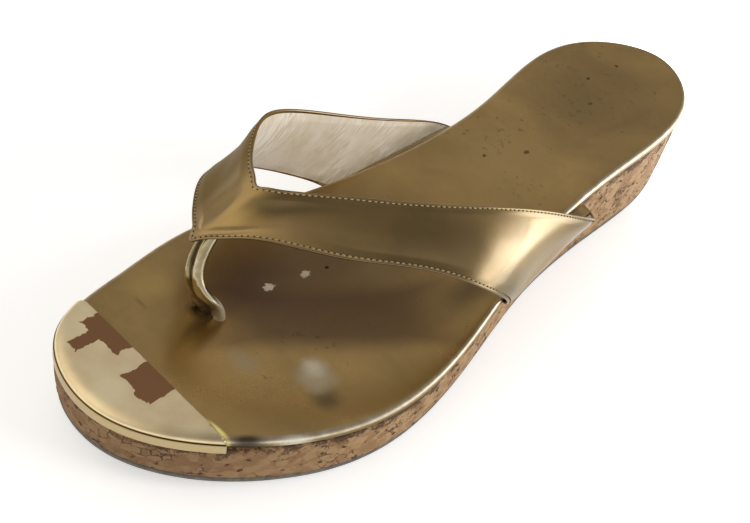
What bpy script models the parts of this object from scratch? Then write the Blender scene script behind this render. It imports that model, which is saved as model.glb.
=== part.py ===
"""Toe post wedge sandal, left shoe, modelled as the pieces a maker puts together.

Frame: +Z up with the floor at z = 0, the toe towards -Y and the heel towards +Y,
the inner (big toe) side towards -X and the outer side towards +X. The origin is on
the floor at the middle of the sole. Every size below is in millimetres and is
turned to metres where a mesh is made. "along" runs from the back of the heel to
the toe, "across" from the inner to the outer side, "height" up from the floor.
"""
import math

import bmesh
import bpy
import numpy as np
from mathutils import Vector

# ---------------------------------------------------------------- driving sizes
MM = 0.001
SHOE_LENGTH = 248.0
SEAM_GAP = 0.3             # running gap between two curved pieces
OUTSOLE_THICKNESS = 2.2
FOOTBED_THICKNESS = 3.4
UPPER_WALL = 2.0           # strap leather with its lining
TOE_SPRING = 7.0           # lift of the sole under the toe tip
SPRING_START = 0.70 * SHOE_LENGTH
PLATE_THICKNESS = 0.7
PLATE_BACK_EDGE = 228.8    # where the metal toe plate ends on the centre line, along the shoe
PLATE_BACK_SLANT = 0.046   # how much further along it ends for each size outwards
HALF_STATIONS = 60         # outline stations from heel back to toe tip, each side
OUTLINE_STEPS = 6000       # fine steps from which the stations are picked
OUTSOLE_SETBACK = 0.3      # how far the outsole stays inside the cork's foot
OUTSOLE_ROUND = 0.6        # its worn lower edge
CORK_BELLY = 0.15          # the cork's side swells a little between top and bottom
CORK_TOP_ROUND = 0.5
SHARP_ANGLE = math.radians(40)

# Plan outline of the footbed, once round from the heel back by the outer side.
# columns: place, along, across
OUTLINE = (
    ("heel back", 0.0, 1.8),
    ("heel corner, outer", 9.0, 18.6),
    ("heel, outer", 32.0, 28.2),
    ("waist, outer", 70.0, 29.2),
    ("shank, outer", 107.0, 31.2),
    ("joint, outer", 143.5, 38.7),
    ("ball, outer", 176.0, 42.8),
    ("little toe", 203.5, 38.0),
    ("toe corner, outer", 230.5, 22.0),
    ("toe tip", 247.6, -3.5),
    ("toe corner, inner", 239.3, -29.3),
    ("big toe", 213.0, -38.2),
    ("ball, inner", 182.5, -41.6),
    ("joint, inner", 151.0, -33.4),
    ("shank, inner", 113.0, -22.4),
    ("waist, inner", 75.5, -20.0),
    ("heel, inner", 36.5, -24.4),
    ("heel corner, inner", 11.0, -16.0),
)

# Side profile of the footbed's top. columns: along, height
TOP_PROFILE = (
    (0.0, 32.0),
    (45.0, 31.8),
    (99.0, 27.8),
    (164.0, 18.2),
    (211.0, 20.2),
    (248.0, 23.8),
)

# How far the cork stands outside (+) or inside (-) the footbed's outline.
# columns: along, at the top, at the bottom
CORK_FLARE = (
    (0.0, -0.4, -1.2),
    (70.0, -0.4, -1.0),
    (150.0, -0.3, -0.5),
    (215.0, -0.2, -0.3),
    (232.0, 0.9, 0.2),
    (248.0, 0.9, 0.2),
)

# Rounded edge of the footbed, from its underside to its top.
# columns: inset from the outline, drop below the top
FOOTBED_EDGE = (
    (1.3, 3.40),
    (0.4, 3.10),
    (0.0, 2.40),
    (0.1, 1.60),
    (0.6, 0.75),
    (1.6, 0.20),
    (3.2, 0.00),
)

# The thong upper's two edges, from where each arm leaves the sole to the apex.
# columns: place, front along, front across, front height,
#          rear along, rear across, rear height, sag inwards between the edges
INNER_ARM = (
    ("side", 138.0, -34.2, 16.8, 91.0, -26.0, 24.8, 0.4),
    ("flank", 147.5, -38.2, 22.4, 108.5, -31.0, 30.8, 1.0),
    ("shoulder", 163.5, -42.0, 31.0, 133.0, -35.5, 41.2, 1.4),
    ("crest", 182.0, -39.6, 38.8, 158.5, -36.5, 53.4, 1.6),
    ("brow", 195.5, -29.5, 42.3, 174.5, -29.5, 57.6, 1.4),
)
APEX = ("apex", 204.0, -17.2, 45.2, 187.5, -14.2, 57.6, 0.8)
OUTER_ARM = (
    ("brow", 198.0, -6.8, 49.0, 177.5, -2.6, 56.6, 1.2),
    ("crest", 184.0, 12.2, 49.0, 157.8, 14.0, 55.2, 1.6),
    ("shoulder", 165.0, 29.2, 46.0, 130.4, 29.2, 49.6, 1.8),
    ("flank", 149.4, 40.0, 37.0, 108.0, 36.0, 39.8, 2.4),
    ("side", 136.0, 41.0, 24.0, 91.0, 37.0, 29.4, 2.2),
)
# Where the arms leave the sole. columns: arm, side, front along, rear along
ARM_ROOTS = (
    ("inner", -1, 136.5, 86.5),
    ("outer", 1, 133.5, 82.5),
)
# The turned-in end of an arm, from its hidden edge out to the bend.
# columns: place, front out from the outline, front drop below the footbed's underside,
#          rear out, rear drop
TURN_IN = (
    ("hidden edge", -9.0, 1.6, -9.0, 1.6),
    ("mouth", -1.0, 1.6, -1.0, 1.9),
    ("bend", 1.5, 1.5, 3.0, 3.0),
)
STRAP_STEPS = 66           # stations from one hidden edge to the other
STRAP_DIVISIONS = 8        # quads from the front edge to the rear edge
POCKET_STEPS = 8
POCKET_DIVISIONS = 4
POCKET_MARGIN = 0.5        # the cork's pocket is longer than the turned-in end, each way
POCKET_SIDE_GAP = 0.6      # and this much wider on each face
TRIM_REACH = 6.0           # how far above the strap the post's trimming form goes

# Toe post: its centre line from inside the cork up to the strap's underside.
# columns: place, along, across, height, width, depth
TOE_POST = (
    ("root", 200.6, -10.8, 13.2, 4.6, 3.4),
    ("footbed", 201.0, -11.0, 19.2, 4.6, 3.4),
    ("low", 203.8, -12.8, 24.5, 4.8, 3.4),
    ("bow", 206.6, -15.2, 31.0, 5.2, 3.4),
    ("high", 204.2, -16.6, 38.5, 5.6, 3.2),
    ("lip", 198.6, -16.4, 48.5, 5.8, 3.0),
)
POST_CORNERS = 20          # corners of the post's section
POST_RINGS = 22            # sections along it
POST_ROUNDNESS = 0.75      # exponent of its rounded box section: 1 is an ellipse
GROOVE_DEPTH = 0.30        # of the post's depth
GROOVE_WIDTH = 0.16        # of the post's width
SLOT_GAP = 0.4             # clearance around the post in the footbed and the cork
SLOT_RINGS = 12            # how many of those sections the slot's cutter takes


# ---------------------------------------------------------------- curves
def spline(knots, values, query, closed=False):
    """Cubic curve through rows of values at rising knots, read at the query numbers.

    A closed curve repeats its first row at the last knot, an open one has free ends.
    """
    knots = np.asarray(knots, float)
    values = np.asarray(values, float)
    spans = np.diff(knots)
    slopes = np.diff(values, axis=0) / spans[:, None]
    count = len(knots)
    system = np.zeros((count, count))
    target = np.zeros_like(values)
    for row in range(1, count - 1):
        before, after = spans[row - 1], spans[row]
        system[row, row - 1:row + 2] = (before, 2 * (before + after), after)
        target[row] = 6 * (slopes[row] - slopes[row - 1])
    if closed:
        system[0, 0], system[0, -1] = 1, -1
        system[-1, 0], system[-1, 1] = 2 * (spans[-1] + spans[0]), spans[0]
        system[-1, -2] = spans[-1]
        target[-1] = 6 * (slopes[0] - slopes[-1])
    else:
        system[0, 0] = system[-1, -1] = 1
    bends = np.linalg.solve(system, target)
    query = np.clip(np.asarray(query, float), knots[0], knots[-1])
    cell = np.clip(np.searchsorted(knots, query, side="right") - 1, 0, count - 2)
    span = spans[cell][:, None]
    after = (query - knots[cell])[:, None] / span
    before = 1 - after
    bend = (before ** 3 - before) * bends[cell] + (after ** 3 - after) * bends[cell + 1]
    return before * values[cell] + after * values[cell + 1] + bend * span ** 2 / 6


def chord_knots(points):
    """Knots that rise with the square root of the distance between points."""
    steps = np.linalg.norm(np.diff(points, axis=0), axis=1)
    return np.concatenate(([0.0], np.cumsum(np.sqrt(steps))))


def top_height(along):
    """Height of the footbed's top at a place along the shoe."""
    profile = np.array(TOP_PROFILE)
    return spline(profile[:, 0], profile[:, 1:], np.ravel(along))[:, 0]


def ground_height(along):
    """Height of the sole's underside: flat to the ball, then the toe spring."""
    rise = np.clip((np.ravel(along) - SPRING_START) / (SHOE_LENGTH - SPRING_START), 0, None)
    return TOE_SPRING * rise ** 2


def outline_stations():
    """The footbed's outline and its outward normals, heel back round by the outer side.

    The two sides share their places along the shoe, so station i and its partner
    on the other side face each other straight across.
    """
    marks = np.array([row[1:] for row in OUTLINE])
    loop = np.vstack((marks, marks[:1]))
    knots = chord_knots(loop)
    dense = spline(knots, loop, np.linspace(0, knots[-1], OUTLINE_STEPS, endpoint=False), closed=True)
    dense = np.roll(dense, -int(dense[:, 0].argmin()), axis=0)
    toe = int(dense[:, 0].argmax())
    heel_end, toe_end = dense[0, 0], dense[toe, 0]
    turn = np.linspace(0, math.pi, HALF_STATIONS + 1)
    places = heel_end + (toe_end - heel_end) * (1 - np.cos(turn)) / 2
    tangent = np.roll(dense, -1, axis=0) - np.roll(dense, 1, axis=0)
    normal = np.stack((-tangent[:, 1], tangent[:, 0]), axis=1)
    normal /= np.linalg.norm(normal, axis=1)[:, None]
    order = np.arange(len(dense))
    outer = np.interp(places, dense[:toe + 1, 0], order[:toe + 1])
    inner = np.interp(places, dense[toe:, 0][::-1], order[toe:][::-1])
    picks = np.concatenate((outer, inner[::-1][1:-1])).round().astype(int) % len(dense)
    return dense[picks], normal[picks]


STATIONS, NORMALS = outline_stations()
ALONG = STATIONS[:, 0]


def outline_across(along, side):
    """How far the footbed reaches across at a place along, on one side (+1 outer, -1 inner)."""
    half = HALF_STATIONS + 1
    line = STATIONS[:half] if side > 0 else np.roll(STATIONS, -1, axis=0)[::-1][:half]
    return float(np.interp(along, line[:, 0], line[:, 1]))


def to_metres(along, across, height):
    """Shoe sizes in millimetres to a place in the part's frame."""
    return np.stack((across, SHOE_LENGTH / 2 - along, height), axis=-1) * MM


# ---------------------------------------------------------------- mesh makers
def make_object(name, vertices, faces, collection, material=None):
    """A smooth shaded mesh object with its normals made to point outwards."""
    mesh = bpy.data.meshes.new(name)
    mesh.from_pydata([tuple(point) for point in vertices], [], faces)
    body = bmesh.new()
    body.from_mesh(mesh)
    bmesh.ops.recalc_face_normals(body, faces=body.faces)
    body.to_mesh(mesh)
    body.free()
    mesh.shade_smooth()
    mesh.set_sharp_from_angle(angle=SHARP_ANGLE)
    piece = bpy.data.objects.new(name, mesh)
    collection.objects.link(piece)
    if material is not None:
        mesh.materials.append(material)
    return piece


def sole_layer(name, rings, collection, material=None):
    """A closed solid through rings that all follow the sole's outline.

    Each ring is a pair: how far it stands outside the outline, as one number or one
    for each station, and its height as a function of the place along the shoe. The
    ends are closed with strips from side to side.
    """
    count = len(STATIONS)
    vertices = []
    for grow, height in rings:
        spread = STATIONS + NORMALS * np.broadcast_to(grow, count)[:, None]
        vertices.extend(to_metres(spread[:, 0], spread[:, 1], height(spread[:, 0])))
    faces = []
    for ring in range(len(rings) - 1):
        low, high = ring * count, (ring + 1) * count
        for here in range(count):
            after = (here + 1) % count
            faces.append((low + here, low + after, high + after, high + here))
    for start in (0, (len(rings) - 1) * count):
        for here in range(count // 2):
            across = (count - here) % count
            corners = (start + here, start + here + 1, start + (count - here - 1), start + across)
            faces.append(tuple(dict.fromkeys(corners)))
    return make_object(name, vertices, faces, collection, material)


def add_boolean(piece, cutter, operation="DIFFERENCE"):
    """Cut, or keep what lies inside, with the exact solver."""
    step = piece.modifiers.new(f"{operation.lower()} {cutter.name}", "BOOLEAN")
    step.operation = operation
    step.solver = "EXACT"
    step.object = cutter


def make_material(name, colour, roughness, metallic):
    """A plain Principled BSDF finish."""
    finish = bpy.data.materials.new(name)
    finish.use_nodes = True
    shader = finish.node_tree.nodes["Principled BSDF"]
    shader.inputs["Base Color"].default_value = (*colour, 1.0)
    shader.inputs["Roughness"].default_value = roughness
    shader.inputs["Metallic"].default_value = metallic
    return finish


# ---------------------------------------------------------------- sole pieces
def footbed_rings(grow=0.0):
    """Rings of the footbed with its rounded edge, grown outwards and upwards."""
    rings = []
    for inset, drop in FOOTBED_EDGE:
        lift = grow * (1 - drop / FOOTBED_THICKNESS)
        rings.append((grow - inset, lambda along, drop=drop, lift=lift: top_height(along) - drop + lift))
    return rings


def build_outsole(collection, material):
    """Thin sole under the cork, flat from heel to ball and lifted under the toe."""
    places, _, flare = zip(*CORK_FLARE)
    edge = np.interp(ALONG, places, flare) - OUTSOLE_SETBACK
    rings = (
        (edge - OUTSOLE_ROUND, ground_height),
        (edge, lambda along: ground_height(along) + OUTSOLE_ROUND),
        (edge, lambda along: ground_height(along) + OUTSOLE_THICKNESS),
    )
    return sole_layer("outsole", rings, collection, material)


def build_cork_wedge(collection, material):
    """Cork wedge from the outsole up to the footbed, tapered in towards the heel's foot."""
    places, upper, lower = zip(*CORK_FLARE)
    top_edge = np.interp(ALONG, places, upper)
    low_edge = np.interp(ALONG, places, lower)

    def seat(along):
        return ground_height(along) + OUTSOLE_THICKNESS + SEAM_GAP

    def lid(along):
        return top_height(along) - FOOTBED_THICKNESS - SEAM_GAP

    rings = (
        (low_edge, seat),
        (0.5 * (low_edge + top_edge) + CORK_BELLY, lambda along: 0.5 * (seat(along) + lid(along))),
        (top_edge, lambda along: lid(along) - CORK_TOP_ROUND),
        (top_edge - CORK_TOP_ROUND, lid),
    )
    return sole_layer("cork_wedge", rings, collection, material)


def build_footbed(collection, material):
    """Leather covered footbed board with a rolled edge."""
    return sole_layer("footbed", footbed_rings(), collection, material)


def make_block(name, low, high, collection):
    """A box between two corners, in metres."""
    body = bmesh.new()
    bmesh.ops.create_cube(body, size=1.0)
    low, high = Vector(low), Vector(high)
    bmesh.ops.scale(body, vec=high - low, verts=body.verts)
    bmesh.ops.translate(body, vec=(high + low) / 2, verts=body.verts)
    mesh = bpy.data.meshes.new(name)
    body.to_mesh(mesh)
    body.free()
    block = bpy.data.objects.new(name, mesh)
    collection.objects.link(block)
    return block


def build_toe_plate(collection, cutters, material):
    """Metal cap over the toe, cut between two larger forms of the footbed."""
    shell = sole_layer("toe_plate", footbed_rings(SEAM_GAP + PLATE_THICKNESS), collection, material)
    core = sole_layer("toe_plate_core", footbed_rings(SEAM_GAP), cutters)
    skirt = sole_layer("toe_plate_skirt", (
        (SEAM_GAP, lambda along: top_height(along) - 2 * FOOTBED_THICKNESS),
        (SEAM_GAP, lambda along: top_height(along) - 0.5 * FOOTBED_THICKNESS),
    ), cutters)
    back = (SHOE_LENGTH / 2 - PLATE_BACK_EDGE) * MM
    reach = 60.0 * MM
    block = make_block("toe_plate_block", (-reach, back - reach, 0.0), (reach, back, reach), cutters)
    for corner in block.data.vertices:
        corner.co.y -= PLATE_BACK_SLANT * corner.co.x
    add_boolean(shell, block, "INTERSECT")
    add_boolean(shell, core)
    add_boolean(shell, skirt)
    return shell


# ---------------------------------------------------------------- thong upper
def turn_in_rows(side, front_along, rear_along, margin=0.0):
    """Sections of an arm's turned-in end, as front and rear points (along, across, height)."""
    front_along += margin
    rear_along -= margin
    rows = []
    for place, front_out, front_drop, rear_out, rear_drop in TURN_IN:
        deeper = margin if place == "hidden edge" else 0.0
        row = []
        for along, out, drop in (
            (front_along, front_out, front_drop), (rear_along, rear_out, rear_drop),
        ):
            across = outline_across(along, side) + side * (out - deeper)
            level = float(top_height(along)[0]) - FOOTBED_THICKNESS - drop
            row.extend((along, across, level))
        rows.append((*row, 0.0))
    return rows


def strap_rows():
    """Every section of the upper, from the inner hidden edge over the apex to the outer one."""
    roots = {name: turn_in_rows(side, front, rear) for name, side, front, rear in ARM_ROOTS}
    inner = [row[1:] for row in INNER_ARM]
    outer = [row[1:] for row in OUTER_ARM]
    return roots["inner"] + inner + [APEX[1:]] + outer + roots["outer"][::-1]


def band_surface(rows, steps, divisions):
    """Grid of points between a band's two edges, sagging inwards between them."""
    rows = np.array(rows, float)
    middle = 0.5 * (rows[:, 0:3] + rows[:, 3:6])
    knots = chord_knots(middle)
    line = spline(knots, rows, np.linspace(0, knots[-1], steps + 1))
    front, rear, sag = line[:, 0:3], line[:, 3:6], line[:, 6]
    run = np.gradient(0.5 * (front + rear), axis=0)
    inward = np.cross(rear - front, run)
    inward /= np.linalg.norm(inward, axis=1)[:, None]
    grid = []
    for share in np.linspace(0, 1, divisions + 1):
        hollow = (4 * share * (1 - share) * sag)[:, None] * inward
        grid.append(front * (1 - share) + rear * share + hollow)
    return np.stack(grid, axis=1)


def band_object(name, grid, inward, outward, collection, material=None):
    """An open sheet over a grid of points, given its wall by Solidify.

    The wall reaches inward and outward from the grid by these two sizes.
    """
    steps, across = grid.shape[0] - 1, grid.shape[1]
    points = grid.reshape(-1, 3)
    vertices = to_metres(points[:, 0], points[:, 1], points[:, 2])
    faces = []
    for step in range(steps):
        for column in range(across - 1):
            corner = step * across + column
            faces.append((corner, corner + 1, corner + across + 1, corner + across))
    piece = make_object(name, vertices, faces, collection, material)
    skin = piece.modifiers.new("wall", "SOLIDIFY")
    skin.thickness = (inward + outward) * MM
    skin.offset = (outward - inward) / (outward + inward)
    skin.use_even_offset = True
    return piece


def build_thong_upper(collection, material):
    """Both arms of the strap as one wall, joined at the apex."""
    grid = band_surface(strap_rows(), STRAP_STEPS, STRAP_DIVISIONS)
    return band_object("thong_upper", grid, UPPER_WALL / 2, UPPER_WALL / 2, collection, material)


def build_post_trim(cutters):
    """The form that ends the post a seam gap under the strap."""
    grid = band_surface(strap_rows(), STRAP_STEPS, STRAP_DIVISIONS)
    return band_object("post_trim", grid, UPPER_WALL / 2 + SEAM_GAP, TRIM_REACH, cutters)


def build_root_pockets(cutters):
    """Cutters for the shallow pockets in the cork that take the turned-in ends."""
    reach = UPPER_WALL / 2 + POCKET_SIDE_GAP
    pockets = []
    for name, side, front, rear in ARM_ROOTS:
        rows = turn_in_rows(side, front, rear, margin=POCKET_MARGIN)
        grid = band_surface(rows, POCKET_STEPS, POCKET_DIVISIONS)
        pockets.append(band_object(f"{name}_pocket", grid, reach, reach, cutters))
    return pockets


# ---------------------------------------------------------------- toe post
def post_section(width, depth, groove):
    """Section of the folded leather post: two rolled folds with a groove in front."""
    outline = []
    for corner in range(POST_CORNERS):
        turn = 2 * math.pi * corner / POST_CORNERS
        cosine, sine = math.cos(turn), math.sin(turn)
        sideways = 0.5 * width * math.copysign(abs(cosine) ** POST_ROUNDNESS, cosine)
        ahead = 0.5 * depth * math.copysign(abs(sine) ** POST_ROUNDNESS, sine)
        if ahead > 0:
            ahead -= groove * depth * math.exp(-(sideways / (GROOVE_WIDTH * width)) ** 2)
        outline.append((sideways, ahead))
    return outline


def sweep_post(name, grow, groove, rings, collection, material=None):
    """The post's folded section, grown all round, swept along its bowed centre line."""
    rows = np.array([row[1:] for row in TOE_POST])
    knots = chord_knots(rows[:, 0:3])
    line = spline(knots, rows, np.linspace(0, knots[-1], POST_RINGS))[:rings]
    centre = line[:, 0:3]
    run = np.gradient(centre, axis=0)
    run /= np.linalg.norm(run, axis=1)[:, None]
    centre[0] -= run[0] * 2 * grow
    inner_to_outer = np.array([0.0, 1.0, 0.0])
    vertices = []
    for point, heading, width, depth in zip(centre, run, line[:, 3], line[:, 4]):
        ahead_axis = np.cross(inner_to_outer, heading)
        ahead_axis /= np.linalg.norm(ahead_axis)
        side_axis = np.cross(heading, ahead_axis)
        for sideways, ahead in post_section(width + 2 * grow, depth + 2 * grow, groove):
            spot = point + side_axis * sideways + ahead_axis * ahead
            vertices.append(to_metres(*spot))
    last = len(vertices) - POST_CORNERS
    faces = [tuple(range(POST_CORNERS)), tuple(range(last, len(vertices)))]
    for low in range(0, last, POST_CORNERS):
        high = low + POST_CORNERS
        for corner in range(POST_CORNERS):
            after = (corner + 1) % POST_CORNERS
            faces.append((low + corner, low + after, high + after, high + corner))
    return make_object(name, vertices, faces, collection, material)


def main():
    for item in list(bpy.data.objects):
        bpy.data.objects.remove(item, do_unlink=True)
    sandal = bpy.data.collections.new("toe_post_wedge_sandal")
    cutters = bpy.data.collections.new("cutters")
    bpy.context.scene.collection.children.link(sandal)
    bpy.context.scene.collection.children.link(cutters)

    metallic_leather = make_material("metallic_leather", (0.25, 0.18, 0.07), 0.28, 0.9)
    cork = make_material("cork", (0.43, 0.25, 0.12), 0.85, 0.0)
    sole_rubber = make_material("sole_rubber", (0.07, 0.06, 0.05), 0.7, 0.0)
    plated_metal = make_material("plated_metal", (0.55, 0.43, 0.27), 0.2, 1.0)

    build_outsole(sandal, sole_rubber)
    wedge = build_cork_wedge(sandal, cork)
    footbed = build_footbed(sandal, metallic_leather)
    build_toe_plate(sandal, cutters, plated_metal)
    build_thong_upper(sandal, metallic_leather)
    post = sweep_post("toe_post", 0.0, GROOVE_DEPTH, POST_RINGS, sandal, metallic_leather)

    for pocket in build_root_pockets(cutters):
        add_boolean(wedge, pocket)
    slot = sweep_post("post_slot", SLOT_GAP, 0.0, SLOT_RINGS, cutters)
    add_boolean(wedge, slot)
    add_boolean(footbed, slot)
    add_boolean(post, build_post_trim(cutters))

    for cutter in cutters.objects:
        cutter.hide_render = True
        cutter.display_type = "WIRE"


main()
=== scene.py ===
"""Toe post wedge sandal, left shoe: the visible model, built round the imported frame.

Sizes are in millimetres and are turned to metres where a mesh is made. "along" runs
from the back of the heel to the toe, "across" from the inner to the outer side and
"height" up from the floor. The frame has the toe towards -Y and the outer side at +X.
"""

import logging
import math
from dataclasses import dataclass
from enum import Enum
from functools import partial
from typing import Callable, NamedTuple, Sequence

import bmesh
import bpy
import numpy as np
from mathutils import Matrix, Vector


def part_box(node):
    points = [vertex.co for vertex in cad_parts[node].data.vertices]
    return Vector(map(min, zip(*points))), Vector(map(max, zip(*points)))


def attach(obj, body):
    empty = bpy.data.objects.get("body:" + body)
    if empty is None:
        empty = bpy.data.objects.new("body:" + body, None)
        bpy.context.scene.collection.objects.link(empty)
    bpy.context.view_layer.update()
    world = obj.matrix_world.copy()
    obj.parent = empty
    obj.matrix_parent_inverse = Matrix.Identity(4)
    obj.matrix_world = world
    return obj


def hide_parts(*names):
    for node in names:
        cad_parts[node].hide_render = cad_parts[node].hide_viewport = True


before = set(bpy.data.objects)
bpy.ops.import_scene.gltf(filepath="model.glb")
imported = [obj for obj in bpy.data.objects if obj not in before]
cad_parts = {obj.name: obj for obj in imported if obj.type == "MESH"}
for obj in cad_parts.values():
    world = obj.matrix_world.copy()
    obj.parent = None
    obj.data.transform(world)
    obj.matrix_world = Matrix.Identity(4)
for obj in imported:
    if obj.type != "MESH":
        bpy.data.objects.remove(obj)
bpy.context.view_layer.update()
HEEL_BACK_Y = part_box("footbed")[1].y

MM = 0.001
SEED = 7
# millimetres to a unit of the lining's crease map
MAP_UNIT = 100.0
# the grain that breaks up a mark's rim, as a share of the mark's smaller reach
RAGGED_GRAIN = 0.6
LOG = logging.getLogger("toe_post_sandal")
Array = np.ndarray
Height = Callable[[Array, Array], Array]
Tree, Node, Socket = bpy.types.NodeTree, bpy.types.Node, bpy.types.NodeSocket
Piece, Material = bpy.types.Object, bpy.types.Material
Source = Node | Socket
Tint = tuple[float, float, float]


class Side(Enum):
    """The two sides of the shoe, as the sign of "across"."""

    INNER = -1
    OUTER = 1


class StrapFace(Enum):
    """The two faces of the strap, as the sign of the way out from its middle."""

    LINING = -1
    FACE = 1


class OutlineMark(NamedTuple):
    """A point of the footbed's plan outline."""

    place: str
    along: float
    across: float


class ProfileMark(NamedTuple):
    """A height of the footbed's top."""

    along: float
    height: float


class FlareMark(NamedTuple):
    """How far the cork stands outside the footbed's outline."""

    along: float
    top: float
    bottom: float


class EdgeMark(NamedTuple):
    """A point of the footbed's rolled edge: inset from the outline, drop below the top."""

    inset: float
    drop: float


class StrapSection(NamedTuple):
    """A section of the strap: its two edge points, and its sag inwards between them."""

    place: str
    front_along: float
    front_across: float
    front_height: float
    rear_along: float
    rear_across: float
    rear_height: float
    sag: float


class TurnIn(NamedTuple):
    """A section of a strap arm's turned-in end, front and rear."""

    place: str
    front_out: float
    front_drop: float
    rear_out: float
    rear_drop: float


class PostSection(NamedTuple):
    """A section of the toe post on its centre line."""

    place: str
    along: float
    across: float
    height: float
    width: float
    depth: float


class Wave(NamedTuple):
    """A wave of wrinkles: its height, and in radians its rise to a millimetre and its start."""

    name: str
    height: float
    along: float
    across: float
    start: float


class PlateMark(NamedTuple):
    """A point of the toe plate's section: out from the outline, lift above the footbed's top."""

    out: float
    lift: float


class Dent(NamedTuple):
    """A soft hollow (or swelling, if its depth is negative) in a surface."""

    place: str
    along: float
    across: float
    reach_along: float
    reach_across: float
    depth: float


class Crease(NamedTuple):
    """A soft trough (or ridge, if its depth is negative) in the strap, in strap sizes.

    run is the distance from the apex along the strap (outer arm positive), share the
    place between the front (0) and rear (1) edges, lean the angle from straight across.
    """

    place: str
    run: float
    share: float
    lean: float
    half_length: float
    half_width: float
    depth: float


class Swell(NamedTuple):
    """A soft swelling of the strap's edge (or a notch, if its height is negative)."""

    place: str
    run: float
    reach: float
    height: float


class Spot(NamedTuple):
    """A mark on a surface: its place, its reach each way, its strength and colour.

    soft is the share of the reach over which it fades, ragged how far noise breaks it up,
    matt how far the foil is dulled there; a square mark has corners, others are round;
    turn is how far, in degrees, the mark is turned towards the inner side of the heel.
    """

    place: str
    along: float
    across: float
    reach_along: float
    reach_across: float
    strength: float
    colour: str
    soft: float = 0.4
    ragged: float = 0.5
    matt: float = 1.0
    square: bool = False
    turn: float = 0.0


# ------------------------------------------------------------------ curves
def spline(knots: Array, rows: Array, query: Array, closed: bool = False) -> Array:
    """Read a cubic curve through rows of values at rising knots.

    Args:
        knots: Rising numbers, one for each row.
        rows: Values, one row for each knot.
        query: Where to read the curve.
        closed: The curve repeats its first row at the last knot.

    Returns:
        One row for each query number.
    """
    knots, rows = np.asarray(knots, float), np.asarray(rows, float)
    spans = np.diff(knots)
    slopes = np.diff(rows, axis=0) / spans[:, None]
    count = len(knots)
    system, target = np.zeros((count, count)), np.zeros_like(rows)
    for row in range(1, count - 1):
        before, after = spans[row - 1], spans[row]
        system[row, row - 1:row + 2] = (before, 2 * (before + after), after)
        target[row] = 6 * (slopes[row] - slopes[row - 1])
    if closed:
        system[0, 0], system[0, -1] = 1, -1
        system[-1, 0], system[-1, 1] = 2 * (spans[-1] + spans[0]), spans[0]
        system[-1, -2] = spans[-1]
        target[-1] = 6 * (slopes[0] - slopes[-1])
    else:
        system[0, 0] = system[-1, -1] = 1
    bends = np.linalg.solve(system, target)
    query = np.clip(np.asarray(query, float), knots[0], knots[-1])
    cell = np.clip(np.searchsorted(knots, query, side="right") - 1, 0, count - 2)
    span = spans[cell][:, None]
    after = (query - knots[cell])[:, None] / span
    before = 1 - after
    bend = (before ** 3 - before) * bends[cell] + (after ** 3 - after) * bends[cell + 1]
    return before * rows[cell] + after * rows[cell + 1] + bend * span ** 2 / 6


def chord_knots(points: Array) -> Array:
    """Knots that rise with the square root of the distance between points."""
    steps = np.linalg.norm(np.diff(points, axis=0), axis=1)
    return np.concatenate(([0.0], np.cumsum(np.sqrt(steps))))


def arc_lengths(points: Array) -> Array:
    """Distance from the first point along a line of points."""
    return np.concatenate(([0.0], np.cumsum(np.linalg.norm(np.diff(points, axis=0), axis=1))))


def unit(vectors: Array) -> Array:
    """Vectors of length 1, along the last axis."""
    return vectors / np.linalg.norm(vectors, axis=-1, keepdims=True)


def bell(distance: Array, reach: float) -> Array:
    """A soft bump: 1 at no distance, falling away over the reach."""
    return np.exp(-(distance / reach) ** 2)


def to_metres(points: Array) -> Array:
    """Points (along, across, height) in millimetres, to the frame in metres."""
    points = np.asarray(points, float)
    heel = HEEL_BACK_Y / MM
    return np.stack((points[..., 1], heel - points[..., 0], points[..., 2]), axis=-1) * MM


def dent_depth(dents: Sequence[Dent], along: Array, across: Array) -> Array:
    """How far a list of dents lowers a surface."""
    depth = np.zeros(np.shape(along))
    for dent in dents:
        reach = ((along - dent.along) / dent.reach_along) ** 2
        reach = reach + ((across - dent.across) / dent.reach_across) ** 2
        depth += dent.depth * np.exp(-reach)
    return depth


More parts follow.
